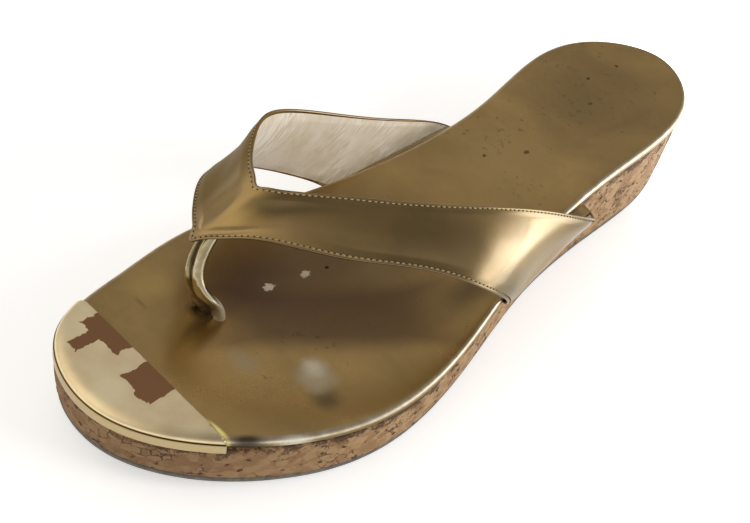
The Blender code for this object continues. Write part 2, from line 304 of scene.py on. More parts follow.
# ------------------------------------------------------------------ the shoe's own shape
@dataclass(frozen=True)
class Last:
    """The sole's outline and profile, which every piece follows."""

    length: float = 248.0
    seam_gap: float = 0.3
    outsole_thickness: float = 2.2
    footbed_thickness: float = 3.4
    toe_spring: float = 7.0
    spring_start: float = 0.70
    fine_steps: int = 12000
    outline: tuple[OutlineMark, ...] = (
        OutlineMark("heel back", 0.0, 1.8),
        OutlineMark("heel corner, outer", 9.0, 18.6),
        OutlineMark("heel, outer", 32.0, 28.2),
        OutlineMark("waist, outer", 70.0, 29.2),
        OutlineMark("shank, outer", 107.0, 31.2),
        OutlineMark("joint, outer", 143.5, 38.7),
        OutlineMark("ball, outer", 176.0, 42.8),
        OutlineMark("little toe", 203.5, 38.0),
        OutlineMark("toe corner, outer", 230.5, 22.0),
        OutlineMark("toe tip", 247.6, -3.5),
        OutlineMark("toe corner, inner", 239.3, -29.3),
        OutlineMark("big toe", 213.0, -38.2),
        OutlineMark("ball, inner", 182.5, -41.6),
        OutlineMark("joint, inner", 151.0, -33.4),
        OutlineMark("shank, inner", 113.0, -22.4),
        OutlineMark("waist, inner", 75.5, -20.0),
        OutlineMark("heel, inner", 36.5, -24.4),
        OutlineMark("heel corner, inner", 11.0, -16.0),
    )
    profile: tuple[ProfileMark, ...] = (
        ProfileMark(0.0, 32.0),
        ProfileMark(45.0, 31.8),
        ProfileMark(99.0, 27.8),
        ProfileMark(164.0, 18.2),
        ProfileMark(211.0, 20.2),
        ProfileMark(248.0, 23.8),
    )
    rolled_edge: tuple[EdgeMark, ...] = (
        EdgeMark(3.2, 3.40),
        EdgeMark(1.2, 3.40),
        EdgeMark(0.35, 3.15),
        EdgeMark(0.0, 2.55),
        EdgeMark(0.0, 1.55),
        EdgeMark(0.12, 0.90),
        EdgeMark(0.55, 0.38),
        EdgeMark(1.3, 0.12),
        EdgeMark(2.6, 0.02),
        EdgeMark(4.6, 0.00),
    )

    def top(self, along: Array) -> Array:
        """Height of the footbed's top."""
        marks = np.array(self.profile)
        flat = spline(marks[:, 0], marks[:, 1:], np.ravel(along))[:, 0]
        return flat.reshape(np.shape(along))

    def ground(self, along: Array) -> Array:
        """Height of the sole's underside: flat to the ball, then the toe spring."""
        start = self.spring_start * self.length
        rise = np.clip((np.asarray(along) - start) / (self.length - start), 0, None)
        return self.toe_spring * rise ** 2

    def fine_outline(self) -> tuple[Array, Array]:
        """The outline in fine steps from the heel back by the outer side, and its normals."""
        marks = np.array([(mark.along, mark.across) for mark in self.outline])
        loop = np.vstack((marks, marks[:1]))
        knots = chord_knots(loop)
        steps = np.linspace(0, knots[-1], self.fine_steps, endpoint=False)
        dense = spline(knots, loop, steps, closed=True)
        dense = np.roll(dense, -int(dense[:, 0].argmin()), axis=0)
        tangent = np.roll(dense, -1, axis=0) - np.roll(dense, 1, axis=0)
        return dense, unit(np.stack((-tangent[:, 1], tangent[:, 0]), axis=1))

    def stations(self, half: int) -> tuple[Array, Array]:
        """Pick outline stations whose two sides face each other straight across.

        Args:
            half: Stations from the heel back to the toe tip, on each side.

        Returns:
            The stations, heel back first and round by the outer side, and their normals.
        """
        dense, normal = self.fine_outline()
        toe = int(dense[:, 0].argmax())
        turn = np.linspace(0, math.pi, half + 1)
        places = dense[0, 0] + (dense[toe, 0] - dense[0, 0]) * (1 - np.cos(turn)) / 2
        order = np.arange(len(dense))
        outer = np.interp(places, dense[:toe + 1, 0], order[:toe + 1])
        inner = np.interp(places, dense[toe:, 0][::-1], order[toe:][::-1])
        picks = np.concatenate((outer, inner[::-1][1:-1])).round().astype(int) % len(dense)
        return dense[picks], normal[picks]

    def edge_across(self, along: float, side: Side) -> float:
        """How far the footbed reaches across at a place along, on one side."""
        dense, _ = self.fine_outline()
        toe = int(dense[:, 0].argmax())
        line = dense[:toe + 1] if side is Side.OUTER else dense[toe:][::-1]
        return float(np.interp(along, line[:, 0], line[:, 1]))

    def rolled(self, count: int) -> Array:
        """The rolled edge's section in fine steps.

        Args:
            count: Points of the section.

        Returns:
            Rows: how far outside the outline, and how far above the footbed's top.
        """
        marks = np.array(self.rolled_edge)
        knots = chord_knots(marks)
        return -spline(knots, marks, np.linspace(0, knots[-1], count))


@dataclass(frozen=True)
class Flare:
    """How far the cork's two edges stand outside the footbed's outline along the shoe."""

    marks: tuple[FlareMark, ...] = (
        FlareMark(0.0, -0.4, -1.2),
        FlareMark(70.0, -0.4, -1.0),
        FlareMark(150.0, -0.3, -0.5),
        FlareMark(215.0, -0.2, -0.3),
        FlareMark(232.0, 0.9, 0.2),
        FlareMark(248.0, 0.9, 0.2),
    )

    def at(self, along: Array) -> tuple[Array, Array]:
        """How far the upper and the lower edge stand out at places along."""
        places, upper, lower = np.array(self.marks).T
        return np.interp(along, places, upper), np.interp(along, places, lower)


# ------------------------------------------------------------------ meshes
def place_object(name: str, data: bpy.types.ID) -> Piece:
    """Make an object of a mesh, a light or a camera, and put it in the scene."""
    item = bpy.data.objects.new(name, data)
    bpy.context.scene.collection.objects.link(item)
    return item


def make_piece(name: str, points: Array, faces: Sequence[Sequence[int]], material: Material) -> Piece:
    """Make a smooth mesh object from points in shoe sizes, its normals outwards.

    Args:
        name: The piece's name.
        points: Rows (along, across, height) in millimetres.
        faces: Corner numbers of each face.
        material: The piece's finish.

    Returns:
        The object, at the origin.
    """
    mesh = bpy.data.meshes.new(name)
    mesh.from_pydata(to_metres(points).tolist(), [], faces)
    mesh.materials.append(material)
    body = bmesh.new()
    body.from_mesh(mesh)
    bmesh.ops.recalc_face_normals(body, faces=body.faces)
    body.to_mesh(mesh)
    body.free()
    mesh.shade_smooth()
    return place_object(name, mesh)


def store_number(piece: Piece, name: str, values: Array) -> None:
    """Keep one number for each vertex, which a finish reads; vertices left over get 0."""
    numbers = np.zeros(len(piece.data.vertices), np.float32)
    numbers[:np.size(values)] = np.ravel(values)
    piece.data.attributes.new(name, "FLOAT", "POINT").data.foreach_set("value", numbers)


def store_map(piece: Piece, name: str, places: Array) -> None:
    """Keep a place (u, v) for each vertex as a UV map."""
    layer = piece.data.uv_layers.new(name=name)
    corners = np.zeros(len(piece.data.loops), np.int32)
    piece.data.loops.foreach_get("vertex_index", corners)
    layer.data.foreach_set("uv", places[corners].astype(np.float32).ravel())


def ring_faces(rings: int, count: int) -> list[tuple[int, ...]]:
    """Quads between rings of corners, each ring closed."""
    faces = []
    for low in range(0, (rings - 1) * count, count):
        for here in range(count):
            after = (here + 1) % count
            faces.append((low + here, low + after, low + count + after, low + count + here))
    return faces


def sole_solid(last: Last, name: str, half: int, rings: Sequence[tuple[Array, Height]],
               divisions: int, material: Material) -> Piece:
    """Make a closed solid through rings that follow the sole's outline.

    Args:
        last: The shoe's shape.
        name: The piece's name.
        half: Stations on each side.
        rings: Pairs, lowest first: how far outside the outline, and the height
            there as a function of along and across.
        divisions: Quads across the solid's two ends.
        material: The piece's finish.

    Returns:
        The object; its vertices start with the rings, 2 * half to a ring.
    """
    stations, normals = last.stations(half)
    count = len(stations)
    loops = []
    for grow, height in rings:
        flat = stations + normals * np.broadcast_to(grow, count)[:, None]
        loops.append(np.column_stack((flat, height(flat[:, 0], flat[:, 1]))))
    points = [point for loop in loops for point in loop]
    faces = ring_faces(len(rings), count)
    for ring in (0, len(rings) - 1):
        start = ring * count
        height = rings[ring][1]
        columns = []
        for here in range(half + 1):
            there = (count - here) % count
            column = [start + here]
            if there != here:
                for share in np.linspace(0, 1, divisions + 1)[1:-1]:
                    flat = loops[ring][here] * (1 - share) + loops[ring][there] * share
                    flat[2] = height(flat[:1], flat[1:2])[0]
                    column.append(len(points))
                    points.append(flat)
            column.append(start + there)
            columns.append(column)
        faces.extend(strip_faces(columns))
    return make_piece(name, np.array(points), faces, material)


def strip_faces(columns: Sequence[Sequence[int]]) -> list[tuple[int, ...]]:
    """Faces between neighbouring columns of corners; an end column may be one point."""
    faces = []
    for left, right in zip(columns, columns[1:]):
        if len(set(left)) == 1 or len(set(right)) == 1:
            fan, tip = (right, left[0]) if len(set(left)) == 1 else (left, right[0])
            faces.extend((tip, first, after) for first, after in zip(fan, fan[1:]))
            continue
        for row in range(len(left) - 1):
            faces.append((left[row], right[row], right[row + 1], left[row + 1]))
    return faces


# ------------------------------------------------------------------ node trees
def feed(tree: Tree, node: Node, inputs: dict[str | int, object]) -> None:
    """Set or link inputs of a node.

    Args:
        tree: The node's tree.
        node: The node.
        inputs: Socket name or number, to a value, to the output that feeds it, or to a
            node whose first live output feeds it.
    """
    for key, value in inputs.items():
        if isinstance(value, Node):
            value = next(output for output in value.outputs if output.enabled)
        if isinstance(value, Socket):
            tree.links.new(value, node.inputs[key])
        else:
            node.inputs[key].default_value = value


def add_node(tree: Tree, kind: str, inputs: dict[str | int, object] | None = None,
             **settings: object) -> Node:
    """Add a node, set its properties, and set or link its inputs.

    Args:
        tree: The tree that it joins.
        kind: The node's type.
        inputs: The inputs, as feed takes them.
        settings: The node's own properties.

    Returns:
        The node.
    """
    node = tree.nodes.new(kind)
    for name, value in settings.items():
        setattr(node, name, value)
    feed(tree, node, inputs or {})
    return node


def linear(code: str) -> tuple[float, float, float, float]:
    """An sRGB hex colour as linear red, green, blue and alpha."""
    parts = [int(code[place:place + 2], 16) / 255 for place in (1, 3, 5)]
    light = [part / 12.92 if part <= 0.04045 else ((part + 0.055) / 1.055) ** 2.4 for part in parts]
    return (*light, 1.0)


def per_size(size: float) -> float:
    """The texture scale whose pattern repeats about every size millimetres."""
    return 1.0 / (size * MM)


def set_ramp(node: Node, stops: Sequence[tuple[float, str]]) -> Node:
    """Give a colour ramp its stops (place, hex colour), and return it."""
    ramp = node.color_ramp
    while len(ramp.elements) < len(stops):
        ramp.elements.new(1.0)
    for element, (place, code) in zip(ramp.elements, stops):
        element.position = place
        element.color = linear(code)
    return node


def mark_mask(tree: Tree, coords: Socket, spot: Spot) -> Node:
    """A mask that is 1 in the middle of a mark and 0 outside it, with a ragged rim.

    Args:
        tree: The material's tree.
        coords: Object coordinates.
        spot: The mark's place, reach, softness and raggedness.

    Returns:
        The mask, times the mark's strength.
    """
    add = partial(add_node, tree)
    centre = tuple(to_metres((spot.along, spot.across, 0.0)))
    reach = (1 / (spot.reach_across * MM), 1 / (spot.reach_along * MM), 0.0)
    moved = add("ShaderNodeVectorMath", {0: coords, 1: centre}, operation="SUBTRACT")
    if spot.turn:
        moved = add("ShaderNodeVectorRotate", {
            "Vector": moved, "Axis": (0.0, 0.0, 1.0), "Angle": math.radians(spot.turn)})
    shared = add("ShaderNodeVectorMath", {0: moved, 1: reach}, operation="MULTIPLY")
    if spot.square:
        size = add("ShaderNodeVectorMath", {0: shared}, operation="ABSOLUTE")
        sides = add("ShaderNodeSeparateXYZ", {0: size}).outputs
        far = add("ShaderNodeMath", {0: sides["X"], 1: sides["Y"]}, operation="MAXIMUM")
    else:
        far = add("ShaderNodeVectorMath", {0: shared}, operation="LENGTH")
    grit = RAGGED_GRAIN * min(spot.reach_along, spot.reach_across)
    grain = add("ShaderNodeTexNoise", {"Vector": coords, "Scale": per_size(grit), "Detail": 5.0})
    broken = add("ShaderNodeMath", {0: grain, 1: 2 * spot.ragged, 2: far}, operation="MULTIPLY_ADD")
    return add("ShaderNodeMapRange", {
        "Value": broken, "From Min": 1.0 - spot.soft + spot.ragged, "From Max": 1.0 + spot.ragged,
        "To Min": spot.strength, "To Max": 0.0}, interpolation_type="SMOOTHSTEP")


@dataclass(frozen=True)
class Finish:
    """A finish: a named material whose nodes its dress method adds."""

    name: str

    def build(self) -> Material:
        """Make the material and dress it."""
        material = bpy.data.materials.new(self.name)
        material.use_nodes = True
        tree = material.node_tree
        self.dress(tree, tree.nodes["Principled BSDF"])
        return material

    def dress(self, tree: Tree, shader: Node) -> None:
        """Add the nodes that feed the shader."""
        raise NotImplementedError


# ------------------------------------------------------------------ finishes
@dataclass(frozen=True)
class FoiledLeather(Finish):
    """Leather with a metal foil in antique gold.

    The eye gets a soft mirror, clouded by tarnish, over a fine smooth grain, with matt marks
    where the foil is rubbed through, and spots of painted shade, highlight and reflection.
    """

    bright: str = "#ae8c52"
    deep: str = "#927644"
    tarnish: str = "#4f4128"
    # the rim's colour, partly painted shade: on the footbed's lower edge, and in the post's groove and over
    # its back
    grime_and_shade: str = "#54412c"
    # the corner's colour, partly a painted highlight along the footbed's rolled corner
    worn: str = "#f2e8d0"
    rough_low: float = 0.16
    rough_high: float = 0.28
    cloud: float = 30.0
    fine: float = 3.0
    fine_share: float = 0.2
    grain: float = 0.9
    grain_depth: float = 0.010
    swell: float = 16.0
    swell_depth: float = 0.10
    metallic: float = 0.94
    coat: float = 1.0
    coat_rough: float = 0.12
    coat_ior: float = 1.6
    edge: str = "#c8b48c"
    speck: float = 2.2
    speck_patch: float = 22.0
    speck_share: float = 0.55
    speck_more: float = 0.055
    speck_behind: float = 0.0
    speck_fade: float = 30.0
    spots: tuple[Spot, ...] = ()

    def dress(self, tree: Tree, shader: Node) -> None:
        """Gold clouds, a rim partly painted shade, a corner partly painted highlight, tarnish specks,
        marks, a grain.
        """
        add = partial(add_node, tree)
        coords = add("ShaderNodeTexCoord").outputs["Object"]
        cloud = add("ShaderNodeTexNoise", {
            "Vector": coords, "Scale": per_size(self.cloud), "Detail": 4.0, "Distortion": 0.6})
        fine = add("ShaderNodeTexNoise", {
            "Vector": coords, "Scale": per_size(self.fine), "Detail": 6.0, "Roughness": 0.6})
        blend = add("ShaderNodeMath", {0: fine, 1: self.fine_share, 2: cloud}, operation="MULTIPLY_ADD")
        ramp = add("ShaderNodeValToRGB", {"Fac": blend})
        colour = set_ramp(ramp, ((0.48, self.deep), (0.86, self.bright)))
        # the rim is partly painted shade, and the corner partly a painted highlight
        rim_noise = add("ShaderNodeMath", {0: fine, 1: 0.6, 2: 0.5}, operation="MULTIPLY_ADD")
        for place, share, code in (("rim", rim_noise, self.grime_and_shade), ("corner", fine, self.worn)):
            where = add("ShaderNodeAttribute", attribute_name=place).outputs["Fac"]
            mask = add("ShaderNodeMath", {0: where, 1: share}, operation="MULTIPLY")
            colour = add("ShaderNodeMix", {0: mask, 6: colour, 7: linear(code)}, data_type="RGBA")
        matt = 0.0
        if self.speck_behind:
            colour, matt = self.add_specks(tree, coords, colour)
        for spot in self.spots:
            mask = mark_mask(tree, coords, spot)
            colour = add("ShaderNodeMix", {0: mask, 6: colour, 7: linear(spot.colour)}, data_type="RGBA")
            if spot.matt:
                dull = add("ShaderNodeMath", {0: mask, 1: spot.matt}, operation="MULTIPLY")
                matt = add("ShaderNodeMath", {0: matt, 1: dull}, operation="MAXIMUM")
        rough = add("ShaderNodeMapRange", {
            "Value": blend, "From Min": 0.4, "From Max": 0.95,
            "To Min": self.rough_high, "To Max": self.rough_low})
        # each property on clean foil, and what a fully dulled mark adds to it
        for socket, clean, change in (
                ("Roughness", rough, 0.35), ("Metallic", self.metallic, -0.75),
                ("Specular IOR Level", 0.5, -0.4), ("Coat Weight", self.coat, -0.9 * self.coat)):
            level = add("ShaderNodeMath", {0: matt, 1: change, 2: clean}, operation="MULTIPLY_ADD")
            feed(tree, shader, {socket: level})
        feed(tree, shader, {
            "Base Color": colour, "Specular Tint": linear(self.edge), "Coat IOR": self.coat_ior,
            "Coat Roughness": self.coat_rough, "Normal": self.add_relief(tree, coords)})

    def add_specks(self, tree: Tree, coords: Socket, colour: Source) -> tuple[Node, Node]:
        """Small dull marks where the heel and the waist are trodden.

        Args:
            tree: The material's tree.
            coords: Object coordinates.
            colour: The colour so far.

        Returns:
            The colour with the specks, and how far they dull the foil.
        """
        add = partial(add_node, tree)
        speck = add("ShaderNodeTexNoise", {
            "Vector": coords, "Scale": per_size(self.speck), "Detail": 4.0, "Roughness": 0.62})
        patch = add("ShaderNodeTexNoise", {
            "Vector": coords, "Scale": per_size(self.speck_patch), "Detail": 1.0})
        summed = add("ShaderNodeMath", {0: patch, 1: 0.35, 2: speck}, operation="MULTIPLY_ADD")
        limit = float(to_metres((self.speck_behind, 0.0, 0.0))[1])
        behind = add("ShaderNodeMapRange", {
            "Value": add("ShaderNodeSeparateXYZ", {0: coords}).outputs["Y"], "From Min": limit,
            "From Max": limit + self.speck_fade * MM, "To Min": 0.0, "To Max": self.speck_more})
        raised = add("ShaderNodeMath", {0: summed, 1: behind}, operation="ADD")
        mask = add("ShaderNodeMapRange", {
            "Value": raised, "From Min": 0.86, "From Max": 0.95, "To Min": 0.0,
            "To Max": self.speck_share}, interpolation_type="SMOOTHSTEP")
        specked = add("ShaderNodeMix", {0: mask, 6: colour, 7: linear(self.tarnish)}, data_type="RGBA")
        return specked, add("ShaderNodeMath", {0: mask, 1: 0.5}, operation="MULTIPLY")

    def add_relief(self, tree: Tree, coords: Socket) -> Node:
        """The soft swell of the padding under the foil, and the leather's grain on it."""
        add = partial(add_node, tree)
        swell = add("ShaderNodeTexNoise", {
            "Vector": coords, "Scale": per_size(self.swell), "Detail": 2.0})
        broad = add("ShaderNodeBump", {"Height": swell, "Distance": self.swell_depth * MM})
        grain = add("ShaderNodeTexNoise", {
            "Vector": coords, "Scale": per_size(self.grain), "Detail": 3.0, "Roughness": 0.55})
        return add("ShaderNodeBump", {
            "Height": grain, "Distance": self.grain_depth * MM, "Normal": broad})


@dataclass(frozen=True)
class LiningLeather(Finish):
    """Undyed kid lining: soft and dull, pulled into fine pale creases that lean one way."""

    light: str = "#fff6e6"
    middle: str = "#e6d8c0"
    dark: str = "#d6c4a6"
    crease: float = 1.7
    crease_length: float = 15.0
    cloud: float = 9.0
    pull: float = 14.0
    relief: float = 0.13
    rough: float = 0.5
    sheen: float = 0.15

    def dress(self, tree: Tree, shader: Node) -> None:
        """Creases that run along the map "crease": thread-like ridges where a stretched
        noise passes its middle, over a soft cloud."""
        add = partial(add_node, tree)
        coords = add("ShaderNodeTexCoord").outputs["Object"]
        stretched = add("ShaderNodeMapping", {
            "Vector": add("ShaderNodeUVMap", uv_map="crease"),
            "Scale": (MAP_UNIT / self.crease, MAP_UNIT / self.crease_length, 1.0)})
        lines = add("ShaderNodeTexNoise", {
            "Vector": stretched, "Scale": 1.0, "Detail": 2.5, "Roughness": 0.55, "Distortion": 0.5})
        away = add("ShaderNodeMath", {0: lines, 1: 0.5}, operation="SUBTRACT")
        off = add("ShaderNodeMath", {0: away}, operation="ABSOLUTE")
        ridge = add("ShaderNodeMapRange", {
            "Value": off, "From Min": 0.0, "From Max": 0.10, "To Min": 1.0, "To Max": 0.0},
            interpolation_type="SMOOTHSTEP")
        cloud = add("ShaderNodeTexNoise", {
            "Vector": coords, "Scale": per_size(self.cloud), "Detail": 5.0, "Roughness": 0.6})
        ramp = add("ShaderNodeValToRGB", {"Fac": cloud})
        colour = set_ramp(ramp, ((0.34, self.dark), (0.6, self.middle)))
        pulled = add("ShaderNodeTexNoise", {"Vector": coords, "Scale": per_size(self.pull), "Detail": 1.0})
        area = add("ShaderNodeMapRange", {
            "Value": pulled, "From Min": 0.38, "From Max": 0.60, "To Min": 0.1, "To Max": 0.7})
        share = add("ShaderNodeMath", {0: ridge, 1: area}, operation="MULTIPLY")
        creased = add("ShaderNodeMix", {0: share, 6: colour, 7: linear(self.light)}, data_type="RGBA")
        feed(tree, shader, {
            "Base Color": creased, "Roughness": self.rough, "Sheen Weight": self.sheen,
            "Normal": add("ShaderNodeBump", {"Height": share, "Distance": self.relief * MM})})


@dataclass(frozen=True)
class GranulatedCork(Finish):
    """Granulated cork, glued, cut and sanded: dull, warm and patchy, with dark bark flecks."""

    pale: str = "#a68760"
    middle: str = "#967551"
    deep: str = "#866643"
    bark: str = "#42291a"
    toe_shade: str = "#6e4f33"
    granule: float = 2.9
    squash: float = 1.25
    bend: float = 3.0
    bend_size: float = 2.6
    dust: float = 1.5
    crumb: float = 5.0
    crack_patch: float = 6.0
    crack_width: float = 0.08
    bark_share: float = 0.85
    toe_shade_share: float = 0.5
    toe_shade_start: float = 190.0
    toe_shade_end: float = 236.0
    relief: float = 0.22
    rough: float = 0.82
    glint: float = 0.3

    def dress(self, tree: Tree, shader: Node) -> None:
        """Granules in three soft tones, dark bark between them towards the top, painted shade towards the
        toe.
        """
        add = partial(add_node, tree)
        coords = add("ShaderNodeTexCoord").outputs["Object"]
        warp = add("ShaderNodeTexNoise", {
            "Vector": coords, "Scale": per_size(self.bend_size), "Detail": 4.0, "Roughness": 0.6})
        shift = add("ShaderNodeVectorMath", {0: warp.outputs["Color"], 1: (0.5,) * 3}, operation="SUBTRACT")
        moved = add("ShaderNodeVectorMath", {
            0: shift, 1: (self.bend * MM,) * 3, 2: coords}, operation="MULTIPLY_ADD")
        flat = add("ShaderNodeVectorMath", {0: moved, 1: (1.0, 1.0, self.squash)}, operation="MULTIPLY")
        cells, gap = (
            add("ShaderNodeTexVoronoi", {"Vector": flat, "Scale": per_size(self.granule)}, feature=feature)
            for feature in ("SMOOTH_F1", "DISTANCE_TO_EDGE"))
        split = add("ShaderNodeSeparateXYZ", {0: cells.outputs["Color"]})
        fine = add("ShaderNodeTexNoise", {
            "Vector": flat, "Scale": per_size(self.dust), "Detail": 6.0, "Roughness": 0.65})
        tone = add("ShaderNodeMath", {0: fine, 1: 0.9, 2: split.outputs["X"]}, operation="MULTIPLY_ADD")
        ramp = add("ShaderNodeValToRGB", {"Fac": tone})
        colour = set_ramp(ramp, ((0.35, self.deep), (0.8, self.middle), (1.0, self.pale)))
        rim = add("ShaderNodeAttribute", attribute_name="rim").outputs["Fac"]
        patch = add("ShaderNodeTexNoise", {
            "Vector": flat, "Scale": per_size(self.crumb), "Detail": 5.0, "Roughness": 0.7})
        crumbled = add("ShaderNodeMath", {0: rim, 1: 0.30, 2: patch}, operation="MULTIPLY_ADD")
        seam = add("ShaderNodeMapRange", {"Value": crumbled, "From Min": 0.74, "From Max": 0.82})
        likely = add("ShaderNodeTexNoise", {
            "Vector": coords, "Scale": per_size(self.crack_patch), "Detail": 3.0})
        wide = add("ShaderNodeMapRange", {
            "Value": likely, "From Min": 0.46, "From Max": 0.68, "To Min": 0.0, "To Max": self.crack_width})
        crack = add("ShaderNodeMath", {0: wide, 1: gap}, operation="SUBTRACT")
        dark = add("ShaderNodeMapRange", {"Value": crack, "From Min": 0.0, "From Max": 0.03})
        marks = add("ShaderNodeMath", {0: seam, 1: dark}, operation="MAXIMUM")
        shade = add("ShaderNodeMath", {0: marks, 1: self.bark_share}, operation="MULTIPLY")
        # painted shade: the cork grows darker towards the toe
        start, end = (float(to_metres((place, 0.0, 0.0))[1]) for place in (self.toe_shade_start, self.toe_shade_end))
        toe_shade = add("ShaderNodeMapRange", {
            "Value": add("ShaderNodeSeparateXYZ", {0: coords}).outputs["Y"], "From Min": start,
            "From Max": end, "To Min": 0.0, "To Max": self.toe_shade_share})
        for mask, code in ((toe_shade, self.toe_shade), (shade, self.bark)):
            colour = add("ShaderNodeMix", {0: mask, 6: colour, 7: linear(code)}, data_type="RGBA")
        sunk = add("ShaderNodeMath", {0: marks, 1: -1.0, 2: tone}, operation="MULTIPLY_ADD")
        feed(tree, shader, {
            "Base Color": colour, "Roughness": self.rough, "Specular IOR Level": self.glint,
            "Normal": add("ShaderNodeBump", {"Height": sunk, "Distance": self.relief * MM})})


@dataclass(frozen=True)
class PlatedMetal(Finish):
    """Polished pale gold plating, hazed by wear: a soft gloss with hairline scratches,
    worn to the brown base metal in sharp edged patches."""

    plating: str = "#f0dcb2"
    dull_plating: str = "#e2caa0"
    lip: str = "#b8a47c"
    shadow: str = "#56431f"
    base_metal: str = "#7a5432"
    haze: float = 9.0
    scratch: float = 6.0
    scratch_turn: float = 0.5
    scratch_stretch: float = 14.0
    rough_low: float = 0.33
    rough_high: float = 0.4
    relief: float = 0.003
    patches: tuple[Spot, ...] = ()

    def dress(self, tree: Tree, shader: Node) -> None:
        """The patches with ragged rims, painted shade on the lip and in the crease, and hairlines that run
        one way.
        """
        add = partial(add_node, tree)
        coords = add("ShaderNodeTexCoord").outputs["Object"]
        worn = 0.0
        for patch in self.patches:
            mask = mark_mask(tree, coords, patch)
            worn = add("ShaderNodeMath", {0: worn, 1: mask}, operation="MAXIMUM")
        haze = add("ShaderNodeTexNoise", {
            "Vector": coords, "Scale": per_size(self.haze), "Detail": 4.0})
        ramp = add("ShaderNodeValToRGB", {"Fac": haze})
        colour = set_ramp(ramp, ((0.35, self.dull_plating), (0.65, self.plating)))
        rim = add("ShaderNodeAttribute", attribute_name="rim").outputs["Fac"]
        # the lip below the crease takes painted shade, the crease a painted shadow line; the base metal
        # shows in the worn patches
        for place, low, high, code in (
                (rim, 0.0, 0.5, self.lip), (rim, 0.55, 0.95, self.shadow),
                (worn, 0.46, 0.54, self.base_metal)):
            sharp = add("ShaderNodeMapRange", {"Value": place, "From Min": low, "From Max": high})
            colour = add("ShaderNodeMix", {0: sharp, 6: colour, 7: linear(code)}, data_type="RGBA")
        hair = add("ShaderNodeMapping", {
            "Vector": coords, "Rotation": (0.0, 0.0, self.scratch_turn),
            "Scale": (1.0, self.scratch_stretch, 1.0)})
        lines = add("ShaderNodeTexNoise", {
            "Vector": hair, "Scale": per_size(self.scratch), "Detail": 5.0, "Roughness": 0.7})
        rough = add("ShaderNodeMapRange", {
            "Value": lines, "From Min": 0.4, "From Max": 0.7,
            "To Min": self.rough_low, "To Max": self.rough_high})
        # each on clean plating, and what the bare base metal, the last mask, adds to it
        dull, metal, lowered = (
            add("ShaderNodeMath", {0: sharp, 1: change, 2: clean}, operation="MULTIPLY_ADD")
            for clean, change in ((rough, 0.34), (1.0, -0.7), (lines, -6.0)))
        feed(tree, shader, {
            "Base Color": colour, "Roughness": dull, "Metallic": metal,
            "Normal": add("ShaderNodeBump", {"Height": lowered, "Distance": self.relief * MM})})


@dataclass(frozen=True)
class PlainFinish(Finish):
    """A finish of one clouded colour: rubber, bark, waxed thread or the shade in a needle hole."""

    light: str = "#808080"
    dark: str = "#606060"
    size: float = 3.0
    rough: float = 0.6
    relief: float = 0.03

    def dress(self, tree: Tree, shader: Node) -> None:
        """Two close tones in a fine cloud, and a fine relief."""
        add = partial(add_node, tree)
        cloud = add("ShaderNodeTexNoise", {
            "Vector": add("ShaderNodeTexCoord").outputs["Object"], "Scale": per_size(self.size),
            "Detail": 5.0, "Roughness": 0.6})
        ramp = add("ShaderNodeValToRGB", {"Fac": cloud})
        feed(tree, shader, {
            "Base Color": set_ramp(ramp, ((0.35, self.dark), (0.65, self.light))), "Roughness": self.rough,
            "Normal": add("ShaderNodeBump", {"Height": cloud, "Distance": self.relief * MM})})


# ------------------------------------------------------------------ repeats
def start_tree(name: str, sizes: dict[str, float | int | None]) -> tuple[Tree, bpy.types.NodeOutputs]:
    """Start a geometry tree with named inputs.

    Args:
        name: The tree's name.
        sizes: Input name, to its default value; an input without one takes a material.

    Returns:
        The tree, and the outputs of its Group Input node.
    """
    kinds = {float: "NodeSocketFloat", int: "NodeSocketInt", type(None): "NodeSocketMaterial"}
    tree = bpy.data.node_groups.new(name, "GeometryNodeTree")
    tree.interface.new_socket("Geometry", in_out="INPUT", socket_type="NodeSocketGeometry")
    for label, default in sizes.items():
        socket = tree.interface.new_socket(label, in_out="INPUT", socket_type=kinds[type(default)])
        if default is not None:
            socket.default_value = default
    tree.interface.new_socket("Geometry", in_out="OUTPUT", socket_type="NodeSocketGeometry")
    return tree, tree.nodes.new("NodeGroupInput").outputs


def end_tree(tree: Tree, geometry: Node, material: Socket) -> None:
    """Realize the instances, set their material and end the tree."""
    real = add_node(tree, "GeometryNodeRealizeInstances", {0: geometry})
    dressed = add_node(tree, "GeometryNodeSetMaterial", {"Geometry": real, "Material": material})
    add_node(tree, "NodeGroupOutput", {0: dressed})


def apply_tree(piece: Piece, tree: Tree, sizes: dict[str, object]) -> None:
    """Run a geometry tree on a piece and keep its result as the piece's plain mesh.

    Args:
        piece: The object; its mesh is what the tree starts from.
        tree: The geometry tree.
        sizes: Values for the tree's named inputs.
    """
    modifier = piece.modifiers.new(tree.name, "NODES")
    modifier.node_group = tree
    for item in tree.interface.items_tree:
        if item.in_out == "INPUT" and item.name in sizes:
            modifier[item.identifier] = sizes[item.name]
    graph = bpy.context.evaluated_depsgraph_get()
    mesh = bpy.data.meshes.new_from_object(piece.evaluated_get(graph), depsgraph=graph)
    piece.modifiers.remove(modifier)
    piece.data = mesh


